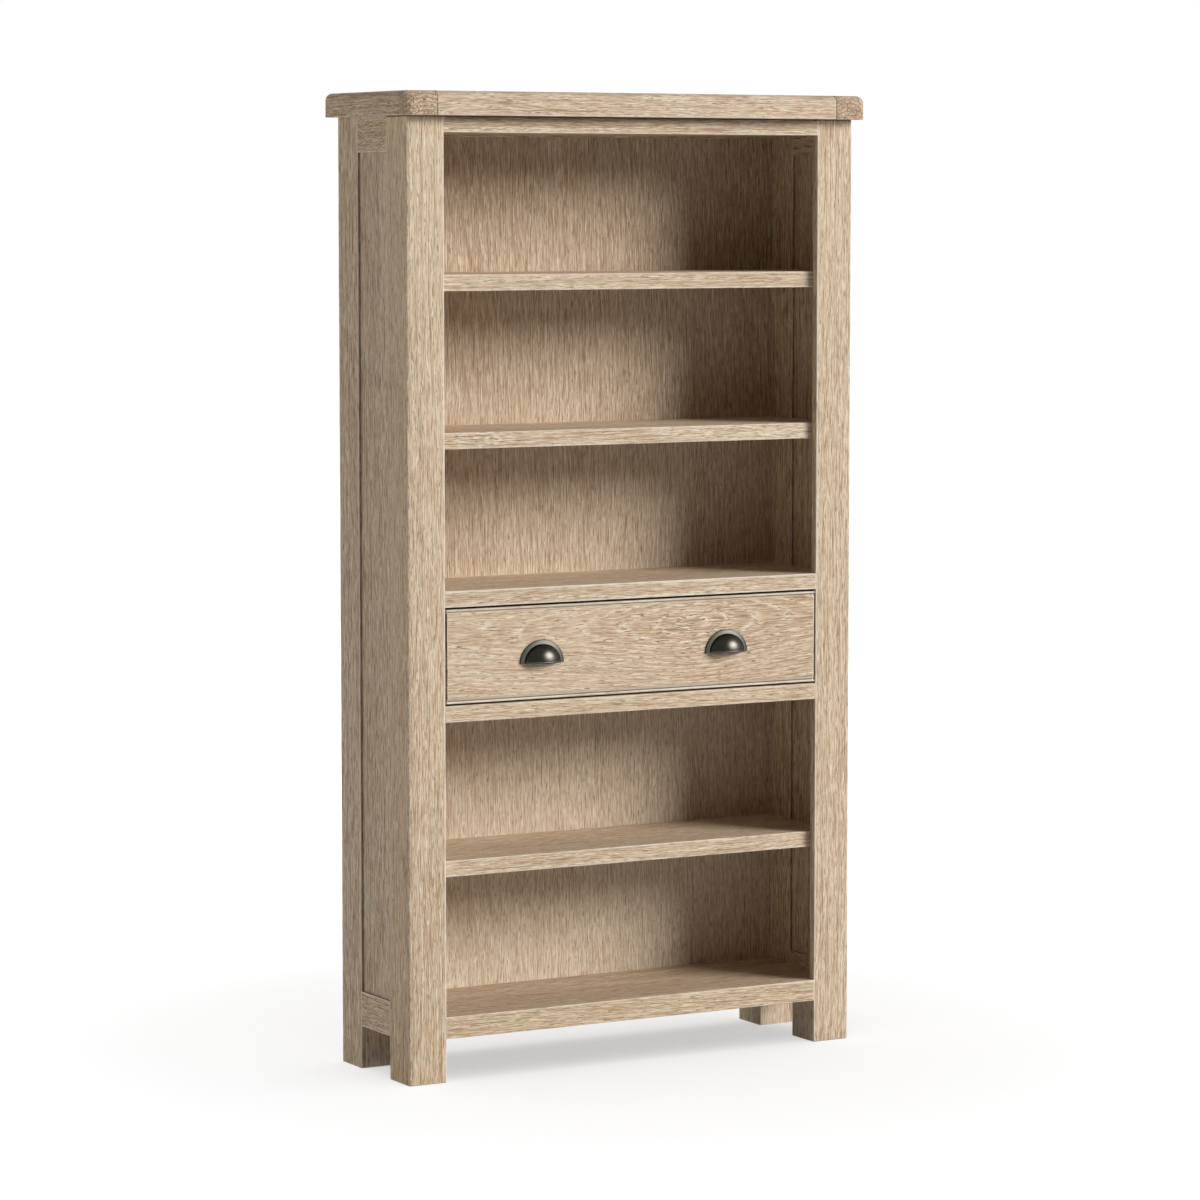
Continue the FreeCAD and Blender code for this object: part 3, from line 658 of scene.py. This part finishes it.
case_top = span("top_field")[0][2]
post_low, post_high = span("front_post_right")
face_front, post_back = post_low[1], post_high[1]
half_width, opening_half = post_high[0], post_low[0]
stile_low, stile_high = span("rear_stile_right")
wall = stile_low[0]
panel_low, panel_high = span("side_panel_right")
back_low, back_high = span("back_panel")
foot_height = span("side_bottom_rail_right")[0][2]
frame_thickness = half_width - wall

RAIL_HEIGHT = 65 * MM
INNER_LIP = 10 * MM


# Top board

EDGE_RADIUS = 14 * MM
CORNER_RADIUS = 22 * MM
JOINT_ARRIS = 1.0 * MM
JOINT_GAP = 1.0 * MM
CORNER_STEPS, EDGE_STEPS, CLEAT_STATIONS = 13, 9, 14
CLEAT_WEAR = 0.7 * MM
# The way round a cleat's plan, along which its wear wanders
CLEAT_WAY_ROUND = 0.45
CLEAT_WAVES = ((0.11, 0.5), (0.043, 0.3), (0.019, 0.2))


def top_board_field():
    """The middle of the top: a section with a round upper front edge, carried along the length."""
    low, high = span("top_field")
    joint = span("top_cleat_right")[0][0]
    radii = [1.2 * MM, 1.2 * MM, 1.5 * MM, EDGE_RADIUS]
    wear = [(3, 0.8 * MM, 8 * MM), (0, 0.3 * MM, 4 * MM)]
    shell = carried(box_outline(low, high, "x"), radii, -joint, joint, "x", end_arris=JOINT_ARRIS,
                    wear=wear, seed=11, pale=[0.5, 0.3, 0.3, 0.0])
    shell[1][:END_RINGS] *= 0.6
    shell[1][-END_RINGS:] *= 0.6
    centre = (0.0, (low[1] + high[1]) / 2, (low[2] + high[2]) / 2)
    oak_piece("top_field", [shell], "x", centre, pith=(-0.11, 0.02), taper=0.04,
              eyes=((0.33, -0.13, 0.07, 0.06, 0.022, 0.4, 0.3),), tone=0.03, seed=3.1)


def top_cleat(side, word):
    """An end cleat. Its plan runs along the front, round the corner, along the outer side and the rear, and
    back along the joint; the section's inset by height is applied only to the front and outer edges."""
    low, high = span("top_cleat_" + word)
    joint = (low[0] if side > 0 else -high[0]) + JOINT_GAP
    outer = high[0] if side > 0 else -low[0]
    front, rear = low[1], high[1]
    turn = np.linspace(-math.pi / 2, 0, CORNER_STEPS)
    corner = np.stack([outer - CORNER_RADIUS + CORNER_RADIUS * np.cos(turn),
                       front + CORNER_RADIUS + CORNER_RADIUS * np.sin(turn)], axis=1)
    corner_inset = -np.stack([np.cos(turn), np.sin(turn)], axis=1)
    a = JOINT_ARRIS
    cut = a * 0.3
    first = np.array([[joint, front + a], [joint + cut, front + cut], [joint + a, front],
                      [joint + a + SUPPORT, front], [outer - CORNER_RADIUS - 6 * MM, front]])
    side_y = np.linspace(front + CORNER_RADIUS + 4 * MM, rear - 4 * MM, CLEAT_STATIONS + 2)
    second = np.stack([np.full(len(side_y), outer), side_y], axis=1)
    last = np.array([[outer, rear - a], [outer - cut, rear - cut], [outer - a, rear],
                     [outer - a - SUPPORT, rear]])
    joint_y = np.linspace(rear - a, front + a + 6 * MM, CLEAT_STATIONS)
    back = np.concatenate([[[joint + a + SUPPORT, rear], [joint + a, rear], [joint + cut, rear - cut]],
                           np.stack([np.full(len(joint_y), joint), joint_y], axis=1)])
    plan = np.concatenate([first, corner, second, last, back])
    inset = np.concatenate([np.tile([0.0, 1.0], (len(first), 1)), corner_inset,
                            np.tile([-1.0, 0.0], (len(second) + len(last), 1)), np.zeros((len(back), 2))])
    bend = np.linspace(0, math.pi / 2, EDGE_STEPS)
    bottom = 0.8 * MM
    heights = np.concatenate([[low[2], low[2], low[2] + bottom, low[2] + bottom + SUPPORT,
                               high[2] - EDGE_RADIUS - SUPPORT],
                              high[2] - EDGE_RADIUS + EDGE_RADIUS * np.sin(bend), [high[2]]])
    depths = np.concatenate([[bottom + SUPPORT, bottom, 0, 0, 0], EDGE_RADIUS * (1 - np.cos(bend)),
                             [EDGE_RADIUS + SUPPORT]])
    wave = wander(np.linspace(0, CLEAT_WAY_ROUND, len(plan)), 21 + side, CLEAT_WAVES)
    rough = np.clip(0.5 + 0.5 * wave, 0, 1) * CLEAT_WEAR
    rounding = np.sin(np.clip(depths / EDGE_RADIUS, 0, 1) * math.pi)
    grid = plan[None] + inset[None] * (depths[:, None] + rounding[:, None] * rough[None])[:, :, None]
    z = np.broadcast_to(heights[:, None], grid.shape[:2])
    points = np.concatenate([grid, z[:, :, None]], axis=2)
    points[:, :, 0] *= side
    if side < 0:
        points = points[:, ::-1]
    arris = np.zeros(points.shape[:2])
    arris[:3] = 0.4
    oak_piece("top_cleat_" + word, [(points, arris)], "y", (low + high) / 2, pith=(-0.012 * side, -0.055),
              taper=0.02, rings=135.0, figure=0.6, tone=-0.07, seed=5.0 + side)


# Side frames

# The left post's outer front arris is worn deeper than the right one's
POST_WEAR = {-1: 3.4 * MM, 1: 0.9 * MM}
POST_WEAR_WIDTH = 6.5 * MM


def mirrored(shell, side):
    """The shell for the right side, turned over for the left side with its faces kept outwards."""
    grid, arris = shell
    if side > 0:
        return shell
    grid = grid.copy()
    grid[:, :, 0] *= -1
    return grid[:, ::-1], np.asarray(arris)[:, ::-1]


def front_post(side, word):
    """The L-shaped post: a face leg and a side leg, with a worn outer front arris. Its upper end carries
    painted shade where it meets the top, and its lower end little rubbed."""
    behind = face_front + frame_thickness
    outline = [(opening_half, face_front), (half_width, face_front), (half_width, post_back),
               (wall, post_back), (wall, behind), (opening_half, behind)]
    radii = MM * np.array([1.1, 3.0, 1.1, 1.0, 0.6, 1.0])
    wear = [(1, POST_WEAR[side], POST_WEAR_WIDTH), (0, 0.5 * MM, 3 * MM), (2, 0.5 * MM, 3 * MM)]
    shell = carried(outline, radii, 0.0, case_top, "z", end_arris=2.4 * MM, station=4 * MM, wear=wear,
                    seed=31 + side, pale=[1.0, 0.15, 0.5, 0.1, 0.1, 0.3])
    # painted shade: the rings of the upper end darkened for the shade under the top
    shell[1][-END_RINGS:] = -0.6
    shell[1][:END_RINGS] *= 0.3
    centre = (side * (half_width - 0.038), face_front + 0.02, case_top / 2)
    # lift paints the post paler towards the top: painted light, stronger on the left post
    oak_piece("front_post_" + word, [mirrored(shell, side)], "z", centre, pith=(0.20 * side, 0.26),
              taper=0.006, rings=120.0, figure=0.38, tone=0.05, seed=7.0 + 2.3 * side,
              contrast=1.1 + 0.1 * side, patches=0.6, lift=0.08 - 0.04 * side, wash=(1.0, 0.99, 0.965, 1))


def rear_stile(side, word):
    """The rear stile with its panel groove, its rebate and, above the foot, the wider inner lip. A strip
    fills the rebate beside the foot block, where no back panel runs."""
    stile_front = stile_low[1] + INNER_LIP
    rear = stile_high[1]
    rebate = back_high[0] + 0.5 * MM
    outline = [(half_width, stile_front), (half_width, rear), (rebate, rear), (rebate, back_low[1]),
               (wall, back_low[1]), (wall, stile_front)]
    radii = MM * np.array([1.1, 1.1, 0.8, 0.5, 2.4, 0.8])
    wear = [(corner, 0.6 * MM, 3 * MM) for corner in (0, 1)]
    # painted shade on the stile's forward face, in the recess beside the panel
    main = carried(outline, radii, 0.0, case_top, "z", end_arris=1.0 * MM, station=9 * MM, wear=wear,
                   seed=41 + side, pale=[0.8, 0.7, 0.0, 0.0, 0.0, 0.0], painted_shade=[(5, -0.6)])
    # no painted shade below the foot's height
    no_shade_below_foot = (main[0][:, :, 2] < foot_height) & (main[1] < 0)
    main[1][no_shade_below_foot] = 0.0
    # painted shade along the lip's forward face, in the crease by the panel
    lip = box_outline((wall, stile_front - INNER_LIP, 0), (panel_low[0], stile_front + OVERLAP, 0), "z")
    edge = carried(lip, MM * np.array([0.9, 0.6, 0.3, 0.3]), foot_height, case_top, "z",
                   end_arris=0.5 * MM, station=30 * MM, pale=0.3, painted_shade=[(0, -0.7)])
    block_high = span("rear_foot_block_right")[1]
    strip_low = (wall + 0.1 * MM, back_low[1] - OVERLAP, 0)
    strip_high = (rebate + OVERLAP, rear - 0.3 * MM, 0)
    foot = carried(box_outline(strip_low, strip_high, "z"), 0.3 * MM, 0.1 * MM, block_high[2] - 0.2 * MM,
                   "z", end_arris=0.3 * MM, station=40 * MM, pale=0.0)
    centre = (side * (half_width - 0.008), (stile_front + rear) / 2, case_top / 2)
    shells = [mirrored(shell, side) for shell in (main, edge, foot)]
    oak_piece("rear_stile_" + word, shells, "z", centre, pith=(0.25 * side, 0.10), taper=0.004, rings=120.0,
              figure=0.45, contrast=2.5, seed=11.0 + 1.9 * side)


def side_rail(node, side, low_z, high_z, pith, seed):
    """A rail between post and rear stile; its grain runs from front to back. Inside it ends at the
    stile's lip, outside it runs on to the stile."""
    stile_front = stile_low[1] + INNER_LIP
    step = panel_low[0] + 0.3 * MM
    outer_outline = box_outline((step, 0, low_z), (half_width, 0, high_z), "y")
    inner_outline = box_outline((wall, 0, low_z + 0.2 * MM), (step + OVERLAP, 0, high_z - 0.2 * MM), "y")
    wear = [(corner, 0.4 * MM, 3 * MM) for corner in (2, 3)]
    # painted shade on the rail's face towards the panel, inside the recess
    facing_panel = 1 if low_z < 1.0 else 3
    shell = carried(outer_outline, 0.9 * MM, post_back, stile_front, "y", end_arris=0.7 * MM,
                    station=8 * MM, wear=wear, seed=seed, pale=[0, 0, 1, 1], painted_shade=[(facing_panel, -0.9)])
    inner_shell = carried(inner_outline, 0.5 * MM, post_back + 0.1 * MM, stile_low[1], "y",
                          end_arris=0.4 * MM, station=20 * MM, pale=[0.3, 0, 0, 0.3],
                          painted_shade=[(facing_panel, -0.7)])
    centre = (side * (half_width - 0.008), (post_back + stile_front) / 2, (low_z + high_z) / 2)
    oak_piece(node, [mirrored(shell, side), mirrored(inner_shell, side)], "y", centre, pith=pith,
              taper=0.30, rings=170.0, figure=0.9, contrast=1.3, seed=seed * 0.37)


PANEL_GROOVE = 2.7 * MM
PANEL_LAYER = 1.6 * MM
# Painted shade that grows towards the groove over the support points of the panel's rear edge
PANEL_SHADE = (-0.14, -0.24, -0.34)


def side_panel(side, word):
    """The thin panel: a full inner layer, and an outer layer that stops short of the frame and leaves a
    dark groove beside the rear stile and above the bottom rail."""
    low, high = panel_low, panel_high
    inner_x = low[0] + PANEL_LAYER
    bend = 0.4 * MM
    # painted shade, slight, on the inner layer's face towards the bay
    back_layer = carried(box_outline(low, (inner_x, high[1], high[2]), "z"), 0.2 * MM, low[2], high[2], "z",
                         end_arris=0.2 * MM, pale=0.0, painted_shade=[(3, -0.12)])
    face_low = (low[0] + 0.8 * MM, low[1], low[2] + PANEL_GROOVE)
    face_high = (high[0], high[1] - PANEL_GROOVE, high[2])
    face = carried(box_outline(face_low, face_high, "z"), bend, face_low[2], face_high[2], "z",
                   end_arris=bend, pale=0.0)
    # painted shade on the face layer beside the groove at its rear edge
    rear_edge = 2 * CORNER_POINTS
    face[1][:, rear_edge:rear_edge + len(PANEL_SHADE)] = PANEL_SHADE
    centre = (side * high[0], (low[1] + high[1]) / 2, (low[2] + high[2]) / 2)
    oak_piece("side_panel_" + word, [mirrored(back_layer, side), mirrored(face, side)], "z", centre,
              slot="oak_veneer", kind="layers", seed=71.0 + side, pith=(0.30, 0.22 * side), rings=100.0,
              taper=0.004, tone=0.21, contrast=2.5)


def side_frames():
    """Both side frames with their feet."""
    for side, word in SIDES:
        front_post(side, word)
        rear_stile(side, word)
        side_rail("side_top_rail_" + word, side, case_top - RAIL_HEIGHT, case_top, (0.02, -0.06), 51 + side)
        side_rail("side_bottom_rail_" + word, side, foot_height, foot_height + RAIL_HEIGHT, (0.03, 0.09),
                  61 + side)
        side_panel(side, word)
        for number, which in enumerate(("front", "rear")):
            # tone 0.3 is painted light: the blocks made paler for the bounce light off the floor
            plank("%s_foot_block_%s" % (which, word), "z", arris=0.6 * MM, shrink=0.02 * MM, pale=0.0,
                  seed=81 + 10 * number + side, tone=0.3)


# Boards, rails and shelves

def boards():
    """The boards and rails between the side frames, from the top down, and the back panel."""
    under_top_board()
    # painted shadow of the top's overhang: a darker tone, and painted shade on the upper front arris that
    # fades down the front face
    plank("top_front_rail", "x", arris=MM * np.array([1.0, 1.0, 1.0, 2.4]), seed=103, pith=(0.10, 0.20),
          taper=0.01, tone=-0.10, pale=[0.8, 0.3, 0.0, -0.9], fading_shade=[(3, -0.55)])
    plank("drawer_deck", "x", seed=105, tone=-0.05)
    plank("drawer_front_rail", "x", seed=107, pith=(-0.14, 0.18), taper=0.01, figure=0.4, tone=0.05,
          wash=(1.0, 0.987, 0.967, 1))
    plank("bottom_board", "x", seed=109, pith=(0.30, 0.05), figure=0.35, tone=-0.10, flecks=0.5,
          pale=0.0)
    plank("bottom_front_rail", "x", seed=111, pith=(-0.05, 0.05), taper=0.05, rings=190.0, figure=0.55,
          pale=[0.2, 0.0, -0.8, 0.8], wash=(1.0, 0.988, 0.945, 1), patches=0.7)
    plank("bottom_back_rail", "x", seed=113)
    plank("top_shelf", "x", seed=115, pith=(0.25, 0.30), figure=0.35, contrast=0.75, tone=0.03)
    plank("middle_shelf", "x", seed=117, pith=(-0.03, 0.22), taper=0.02, figure=0.4, contrast=0.85,
          tone=0.04, eyes=((-0.29, 0.0, 0.045, 0.02, 0.02, 1.2, 0.3),))
    plank("low_shelf", "x", seed=119, pith=(0.22, 0.18), figure=0.4, contrast=0.9, tone=0.01)
    # lift -0.24 paints the back panel darker towards the top and paler towards the bottom: painted shade
    # under the top, painted light from below
    plank("back_panel", "z", slot="oak_veneer", arris=0.4 * MM, wear=(), seed=121, pith=(-0.25, 0.12),
          taper=0.07, rings=100.0, figure=0.4, tone=0.02, flecks=0.75, contrast=0.85, patches=0.5,
          lift=-0.24, wash=(0.965, 0.995, 1.03, 1))
    cover_board()


def under_top_board():
    """The board below the top, with a thin batten that covers its joint with the back panel."""
    low, high = span("under_top_board")
    board = carried(box_outline(low, high, "x"), 1.0 * MM, low[0], high[0], "x")
    batten_low = (low[0] + 1 * MM, back_low[1] - 12 * MM, low[2] - 3.5 * MM)
    batten_high = (high[0] - 1 * MM, back_low[1] - 0.5 * MM, low[2] + 1 * MM)
    outline = box_outline(batten_low, batten_high, "x")
    batten = carried(outline, 0.6 * MM, batten_low[0], batten_high[0], "x", end_arris=0.5 * MM, pale=0.5)
    # tone -0.22 is painted shade: the board and batten darkened for the shade under the top
    oak_piece("under_top_board", [board, batten], "x", (low + high) / 2, seed=10.1, tone=-0.22)


def cover_board():
    """The board over the drawer: wall to wall behind the posts, with a nose that comes forward between
    them."""
    low, high = span("cover_board")
    behind = face_front + frame_thickness
    inner_outline = box_outline((low[0], behind, low[2]), high, "x")
    inner = carried(inner_outline, 0.8 * MM, low[0], high[0], "x")
    nose_outline = box_outline(low, (high[0], behind + 2 * OVERLAP, high[2]), "x")
    radii = MM * np.array([1.0, 0.01, 0.01, 1.1])
    wear = [(corner, *PLANK_WEAR) for corner in (0, 3)]
    # painted shade on the nose's underside, over the drawer
    nose = carried(nose_outline, radii, -opening_half, opening_half, "x", wear=wear, seed=133,
                   painted_shade=[(0, -0.8)])
    centre = (0.0, (low[1] + high[1]) / 2, (low[2] + high[2]) / 2)
    oak_piece("cover_board", [inner, nose], "x", centre, pith=(0.12, 0.24), figure=0.4, contrast=0.9,
              tone=0.01, seed=13.7)


# Drawer

BEAD_PLAY = 2.2 * MM
END_PLAY = 1.6 * MM
QUIRK_WIDTH, QUIRK_DEPTH = 1.7 * MM, 3.0 * MM
# The eye over the right pull, the wide hill whose rings lie round it, and a smaller eye at the left
DRAWER_EYES = ((0.122, 0.041, 0.060, 0.022, -0.012, 0.9, 0.0),
               (0.122, 0.041, 0.25, 0.11, -0.037, 0.2, 0.40),
               (-0.29, 0.045, 0.060, 0.020, 0.009, 0.5, 0.2))


def drawer_pieces():
    """The drawer's field with a narrow quirk along its upper and lower edges, and a bead beyond each."""
    low, high = span("drawer_front")
    front, back, base, top = low[1], high[1], low[2], high[2]
    step = front + QUIRK_DEPTH
    quirk_low, quirk_high = base + QUIRK_WIDTH, top - QUIRK_WIDTH
    outline = [(front, quirk_low), (step, quirk_low), (step, base), (back, base),
               (back, top), (step, top), (step, quirk_high), (front, quirk_high)]
    radii = MM * np.array([0.9, 0.2, 0.2, 0.8, 0.8, 0.2, 0.2, 0.9])
    wear = [(corner, 0.3 * MM, 3 * MM) for corner in (0, 7)]
    # painted shade on the faces inside both quirks
    shell = carried(outline, radii, low[0] + END_PLAY, high[0] - END_PLAY, "x", end_arris=1.5 * MM,
                    station=12 * MM, wear=wear, seed=141, pale=[0.3, 0, 0, 0.5, 0.5, 0, 0, 0.3],
                    painted_shade=[(corner, -0.4) for corner in (0, 1, 5, 6)])
    oak_piece("drawer_front", [shell], "x", (low + high) / 2, body="drawer", pith=(0.041, 0.0275),
              rings=115.0, eyes=DRAWER_EYES, figure=0.68, contrast=0.68, tone=0.07, seed=6.3, lift=-0.3,
              soiled=(top - base, 9 * MM, 3 * MM), wash=(1.0, 0.987, 0.967, 1))
    for node, seed in (("drawer_bead_upper", 14.3), ("drawer_bead_lower", 14.5)):
        low, high = span(node)
        if node == "drawer_bead_upper":
            high[2] -= BEAD_PLAY
            radii = MM * np.array([1.9, 0.4, 0.6, 0.9])
        else:
            low[2] += BEAD_PLAY
            radii = MM * np.array([0.9, 0.6, 0.4, 1.9])
        shell = carried(box_outline(low, high, "x"), radii, low[0] + END_PLAY, high[0] - END_PLAY, "x",
                        station=20 * MM, pale=[0.8, 0.2, 0.2, 0.8])
        oak_piece(node, [shell], "x", (low + high) / 2, body="drawer", kind="strip", figure=0.3, tone=0.06,
                  seed=seed)


ARCH_STEPS, BOWL_STEPS, LIP_STEPS, LIP_SIDES = 49, 40, 41, 10
BOWL_START = 0.12
FLANGE_WIDTH = 8.8 * MM
FLANGE_THICKNESS = 3.2 * MM
# The flange's section from its outer edge to the bowl: shares of its width and of its thickness
FLANGE_SECTION = np.array([[1.0, 0.0], [1.0, 0.45], [0.985, 0.85], [0.95, 1.0], [0.25, 1.05], [0.06, 1.25]])
RUBBED_RINGS = slice(2, 5)
CASTING_WALL = 1.8 * MM
LIP_RADIUS = 1.9 * MM
LIP_STEP = 0.9 * MM
LIP_INSET = 0.6 * MM
LIP_RUB = 0.9
CASTING_SMOOTH_ANGLE = 60.0
# where the bowl's worn patch sits: at the key lamp's highlight, so it is partly painted highlight
FINGER_HIGHLIGHT_PLACE = (9 * MM, 3 * MM, 12 * MM)


def cup_pull(word):
    """A cup pull. For each angle round its arch a section runs over the rounded flange, up the bowl as a
    quarter ellipse to the middle of the lower edge, and back inside at the metal's thickness. A round lip
    follows the bowl's lower edge: a circle carried along half an ellipse."""
    node = "cup_pull_" + word
    low, high = span(node)
    middle, base, back = (low[0] + high[0]) / 2, low[2], high[1]
    half, height, reach = (high[0] - low[0]) / 2, high[2] - low[2], high[1] - low[1]
    highlight_spot = (middle + FINGER_HIGHLIGHT_PLACE[0], low[1] + FINGER_HIGHLIGHT_PLACE[1], base + FINGER_HIGHLIGHT_PLACE[2])
    material = antique_pewter("antique_pewter_" + word, highlight_spot)
    angle = np.linspace(0, math.pi, ARCH_STEPS)
    rise = np.linspace(BOWL_START, math.pi / 2, BOWL_STEPS)
    bowl_half, bowl_height, bowl_reach = half - FLANGE_WIDTH, height - FLANGE_WIDTH, reach - LIP_STEP
    flange = FLANGE_SECTION[:, 0] * FLANGE_WIDTH
    outer_y = np.concatenate([FLANGE_SECTION[:, 1] * FLANGE_THICKNESS, bowl_reach * np.sin(rise)])
    inner_y = np.concatenate([(bowl_reach - CASTING_WALL) * np.sin(rise[::-1]), [0.0]])
    a, c = [np.concatenate([size + flange, size * np.cos(rise),
                            (size - CASTING_WALL) * np.cos(rise[::-1]), [size - CASTING_WALL]])
            for size in (bowl_half, bowl_height)]
    y = np.concatenate([outer_y, inner_y])
    x = middle + np.cos(angle)[:, None] * a[None]
    z = base + np.sin(angle)[:, None] * c[None]
    grid = np.stack([x, np.broadcast_to(back - y[None], x.shape), z], axis=2)
    rub = np.zeros(grid.shape[:2])
    rub[:, RUBBED_RINGS] = 1.0
    t = np.linspace(0, math.pi, LIP_STEPS)
    out_x, out_y = np.cos(t)[:, None], -np.sin(t)[:, None]
    roll = np.linspace(0, 2 * math.pi, LIP_SIDES, endpoint=False)[None]
    lip_x = middle + out_x * (bowl_half - LIP_INSET)
    lip_y = back + out_y * (reach - LIP_RADIUS)
    lip = np.stack([lip_x + out_x * LIP_RADIUS * np.cos(roll),
                    lip_y + out_y * LIP_RADIUS * np.cos(roll),
                    base + LIP_RADIUS * (1 + np.sin(roll)) + np.zeros_like(out_x)], axis=2)
    shells = [(grid[::-1], rub[::-1]), (lip, np.full(lip.shape[:2], LIP_RUB))]
    mesh_piece(node + "_casting", shells, "drawer", [node], material,
               CASTING_SMOOTH_ANGLE)


# Pieces that keep their CAD shape

FIXINGS = ("shelf_pins", "top_screws", "back_nails", "pull_screws", "drawer_bottom_screws")
INNER_WOOD = (("drawer_side_left", "y"), ("drawer_side_right", "y"), ("drawer_back", "x"),
              ("drawer_bottom", "x"), ("drawer_guide_left", "y"), ("drawer_guide_right", "y"),
              ("drawer_kicker_left", "y"), ("drawer_kicker_right", "y"), ("drawer_stops", "x"),
              ("case_dowels", "x"))


def finish_cad_pieces():
    """The inner wood and the fixings keep their CAD shapes and get their own materials."""
    zinc = zinc_steel()
    for name in FIXINGS:
        paint(name, zinc)
    for number, (name, grain) in enumerate(INNER_WOOD):
        low, high = span(name)
        paint(name, limed_oak(name + "_oak", grain, (low + high) / 2, figure=0.3, tone=0.05, flecks=0.25,
                              seed=20.0 + 1.3 * number))


def paint(name, material):
    """Puts the material into every slot of the CAD piece."""
    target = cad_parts[name]
    for slot in target.material_slots:
        slot.material = material


# Floor

FLOOR_REACH = 40.0
FLOOR_COLOUR = (0.62, 0.62, 0.62, 1)
FLOOR_GLOW, FAR_GLOW = 0.53, 1.05
GLOW_SPREAD = (0.7, 2.8)


def floor():
    """A wide pale floor. Camera rays also meet a plain white glow, so that it reads white and keeps its
    shadow; far from the case the glow rises to full white, where the overhead lamp no longer reaches."""
    mesh = bpy.data.meshes.new("floor")
    corners = [(x * FLOOR_REACH, y * FLOOR_REACH, 0) for x, y in ((-1, -1), (1, -1), (1, 1), (-1, 1))]
    mesh.from_pydata(corners, [], [(0, 1, 2, 3)])
    material = bpy.data.materials.new("pale_floor")
    material.use_nodes = True
    tree = material.node_tree
    tree.nodes.clear()
    seen = plainly_seen(tree)
    place = place_on_object(tree)
    away = add(tree, "ShaderNodeVectorMath", {0: place}, operation="LENGTH").outputs["Value"]
    rise = times(tree, between(tree, away, *GLOW_SPREAD), FAR_GLOW - FLOOR_GLOW)
    glow = times(tree, seen, plus(tree, rise, FLOOR_GLOW))
    shade = add(tree, "ShaderNodeBsdfDiffuse", {"Color": FLOOR_COLOUR})
    light = add(tree, "ShaderNodeEmission", {"Color": WHITE, "Strength": glow})
    both = add(tree, "ShaderNodeAddShader", {0: shade.outputs[0], 1: light.outputs[0]})
    add(tree, "ShaderNodeOutputMaterial", {0: both.outputs[0]})
    mesh.materials.append(material)
    piece = bpy.data.objects.new("floor", mesh)
    bpy.context.collection.objects.link(piece)
    return piece


set_camera()
set_lights(floor())
set_world()
top_board_field()
for side, word in SIDES:
    top_cleat(side, word)
side_frames()
boards()
drawer_pieces()
for side, word in SIDES:
    cup_pull(word)
finish_cad_pieces()
bpy.context.scene.view_settings.view_transform = "Standard"
